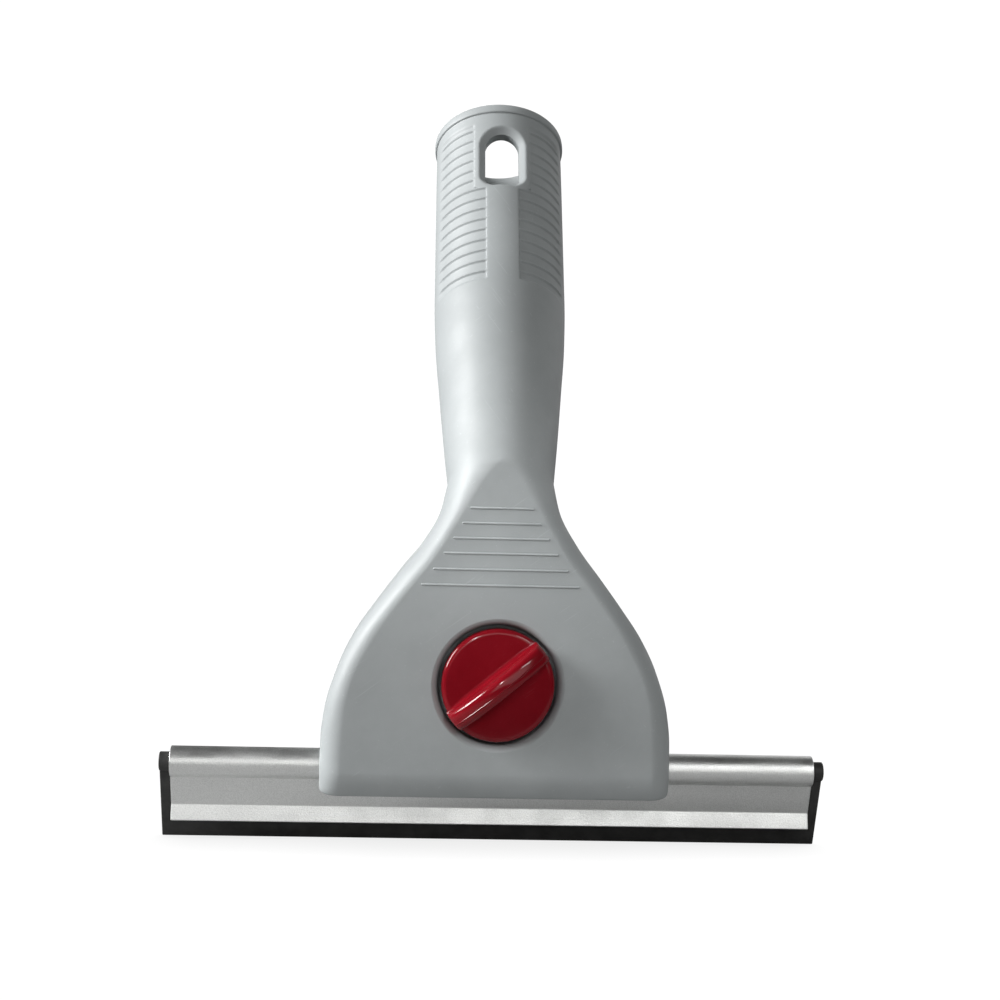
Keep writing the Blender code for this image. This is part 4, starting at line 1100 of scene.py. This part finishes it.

# %% [markdown]
# ## Floor, background and lights
#
# The photograph has a pure white surround and one broad light on the left. The surround is white only to
# the camera, and there the floor's white glow carries a painted contact shadow under the object. What the
# object itself sees is dim, with one bright strip in front, from the horizon to about 38 degrees, which
# draws the highlights along the aluminium. Under the object lies pale paper that is painted dark farther
# out, as painted shade, so that the knob mirrors no white.

# %% White surround
WHITE, SEEN_STRENGTH = (1.0, 1.0, 1.0, 1.0), 1.05
STRIP_MIDDLE, STRIP_STRENGTH, STRIP_COLOUR = 0.15, 1.32, (1.0, 1.0, 0.985, 1.0)
STRIP_SIDES, STRIP_TOP, STRIP_FOOT, STRIP_BACK = (0.36, 0.56), (0.34, 0.62), (-0.02, 0.04), (-0.5, -0.2)
DIM_HEIGHTS, DIM_STRENGTHS = (0.02, 0.14), (0.03, 0.045)
bpy.context.scene.view_settings.view_transform = "Standard"
world = bpy.data.worlds.new("pale_surround")
bpy.context.scene.world = world
world.use_nodes = True
sky = Nodes(world.node_tree)
x, y, z = sky.add("SeparateXYZ", {0: sky.put("TexCoord", output="Generated")}).outputs
side = sky.maths("ABSOLUTE", sky.maths("SUBTRACT", x, STRIP_MIDDLE))
strip = sky.smooth_step(side, *STRIP_SIDES, 1.0, 0.0)
for value, *edges in ((z, *STRIP_TOP, 1.0, 0.0), (z, *STRIP_FOOT), (y, *STRIP_BACK, 1.0, 0.0)):
    strip = sky.maths("MULTIPLY", strip, sky.smooth_step(value, *edges))
dim = sky.smooth_step(z, *DIM_HEIGHTS, *DIM_STRENGTHS)
level = sky.maths("MULTIPLY_ADD", strip, STRIP_STRENGTH, dim)


def shown(nodes, kind, felt, seen):
    """Ends a node tree with one shader for the camera and another for the light that the object gets."""
    to_camera = nodes.put("LightPath", output="Is Camera Ray")
    nodes.add(kind, {"Surface": nodes.put("MixShader", {0: to_camera, 1: felt, 2: seen})})


shown(sky, "OutputWorld", sky.put("Background", {"Color": STRIP_COLOUR, "Strength": level}),
      sky.put("Background", {"Color": WHITE, "Strength": SEEN_STRENGTH}))

# %% Pale floor
FLOOR_HALF, FLOOR_CENTRE_Y = 3, -0.03
SHADE_REACH, SHADE_STRENGTHS, SHADE_OPEN = 0.02, (0.80, 1.05), (0.0, 0.97)
PAINTED_DARK_REACH, PAPER_GREY_AND_PAINTED_DARK = (0.10, 0.24), (0.37, 0.03)
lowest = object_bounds()[0][2]
mesh = bpy.data.meshes.new("floor")
corners = [(x * FLOOR_HALF, y * FLOOR_HALF, lowest) for x, y in ((-1, -1), (1, -1), (1, 1), (-1, 1))]
mesh.from_pydata(corners, [], [(0, 1, 2, 3)])
floor = placed("floor", mesh)
paper = bpy.data.materials.new("pale_floor")
paper.use_nodes = True
nodes = Nodes(paper.node_tree)
# Painted contact shadow: ambient occlusion dims the floor's white glow to the camera under and beside the
# object.
corner_shade = nodes.put("AmbientOcclusion", {"Distance": SHADE_REACH}, "AO", samples=8)
shade = nodes.straight(corner_shade, *SHADE_STRENGTHS, *SHADE_OPEN)
away = nodes.put("VectorMath", {0: nodes.put("TexCoord", output="Object"), 1: (0.0, FLOOR_CENTRE_Y, lowest)},
                 "Value", operation="DISTANCE")
# Painted shade: the paper's grey, which the object gets and mirrors, is painted dark farther out.
paper_grey_and_painted_dark = nodes.smooth_step(away, *PAINTED_DARK_REACH, *PAPER_GREY_AND_PAINTED_DARK)
shown(nodes, "OutputMaterial", nodes.put("BsdfDiffuse", {"Color": paper_grey_and_painted_dark}),
      nodes.put("Emission", {"Strength": shade}))
floor.data.materials.append(paper)

# %% Studio lights
# Name, direction, distance, width, height and power of each panel.
PANELS = (("key_panel", (-0.905, -0.15, 0.397), 1.3, 0.55, 0.55, 31.5),
          ("high_panel", (0.41, -0.77, 0.50), 1.2, 0.34, 0.07, 1.7),
          ("back_panel", (0.60, 0.75, 0.40), 1.5, 2.0, 1.6, 6.5))
MIDDLE = (0.0, 0.0, -0.08)
SPOT_WAY, SPOT_DISTANCE, SPOT_REACH, SPOT_POWER, SPOT_SOFT = (-0.2, -0.9, 0.35), 0.5, 0.031, 6.0, 0.03
SPOT_TARGET = HEAD_PLACE + (0.0, 0.0, 36 * MM)


def aimed(name, light, direction, distance, target=MIDDLE):
    """Puts a light at a distance from a target in a direction, and turns it to look at the target."""
    item = placed(name, light)
    way = Vector(direction).normalized()
    item.location = Vector(target) + way * distance
    item.rotation_euler = way.to_track_quat("Z", "Y").to_euler()


for name, direction, distance, width, height, power in PANELS:
    light = bpy.data.lights.new(name, "AREA")
    light.shape, light.size, light.size_y, light.energy = "RECTANGLE", width, height, power
    aimed(name, light, direction, distance)
face_light = bpy.data.lights.new("face_spot", "SPOT")
face_light.energy, face_light.shadow_soft_size = SPOT_POWER, SPOT_SOFT
face_light.spot_size, face_light.spot_blend = 2 * atan2(SPOT_REACH, SPOT_DISTANCE), 1.0
aimed("face_spot", face_light, SPOT_WAY, SPOT_DISTANCE, SPOT_TARGET)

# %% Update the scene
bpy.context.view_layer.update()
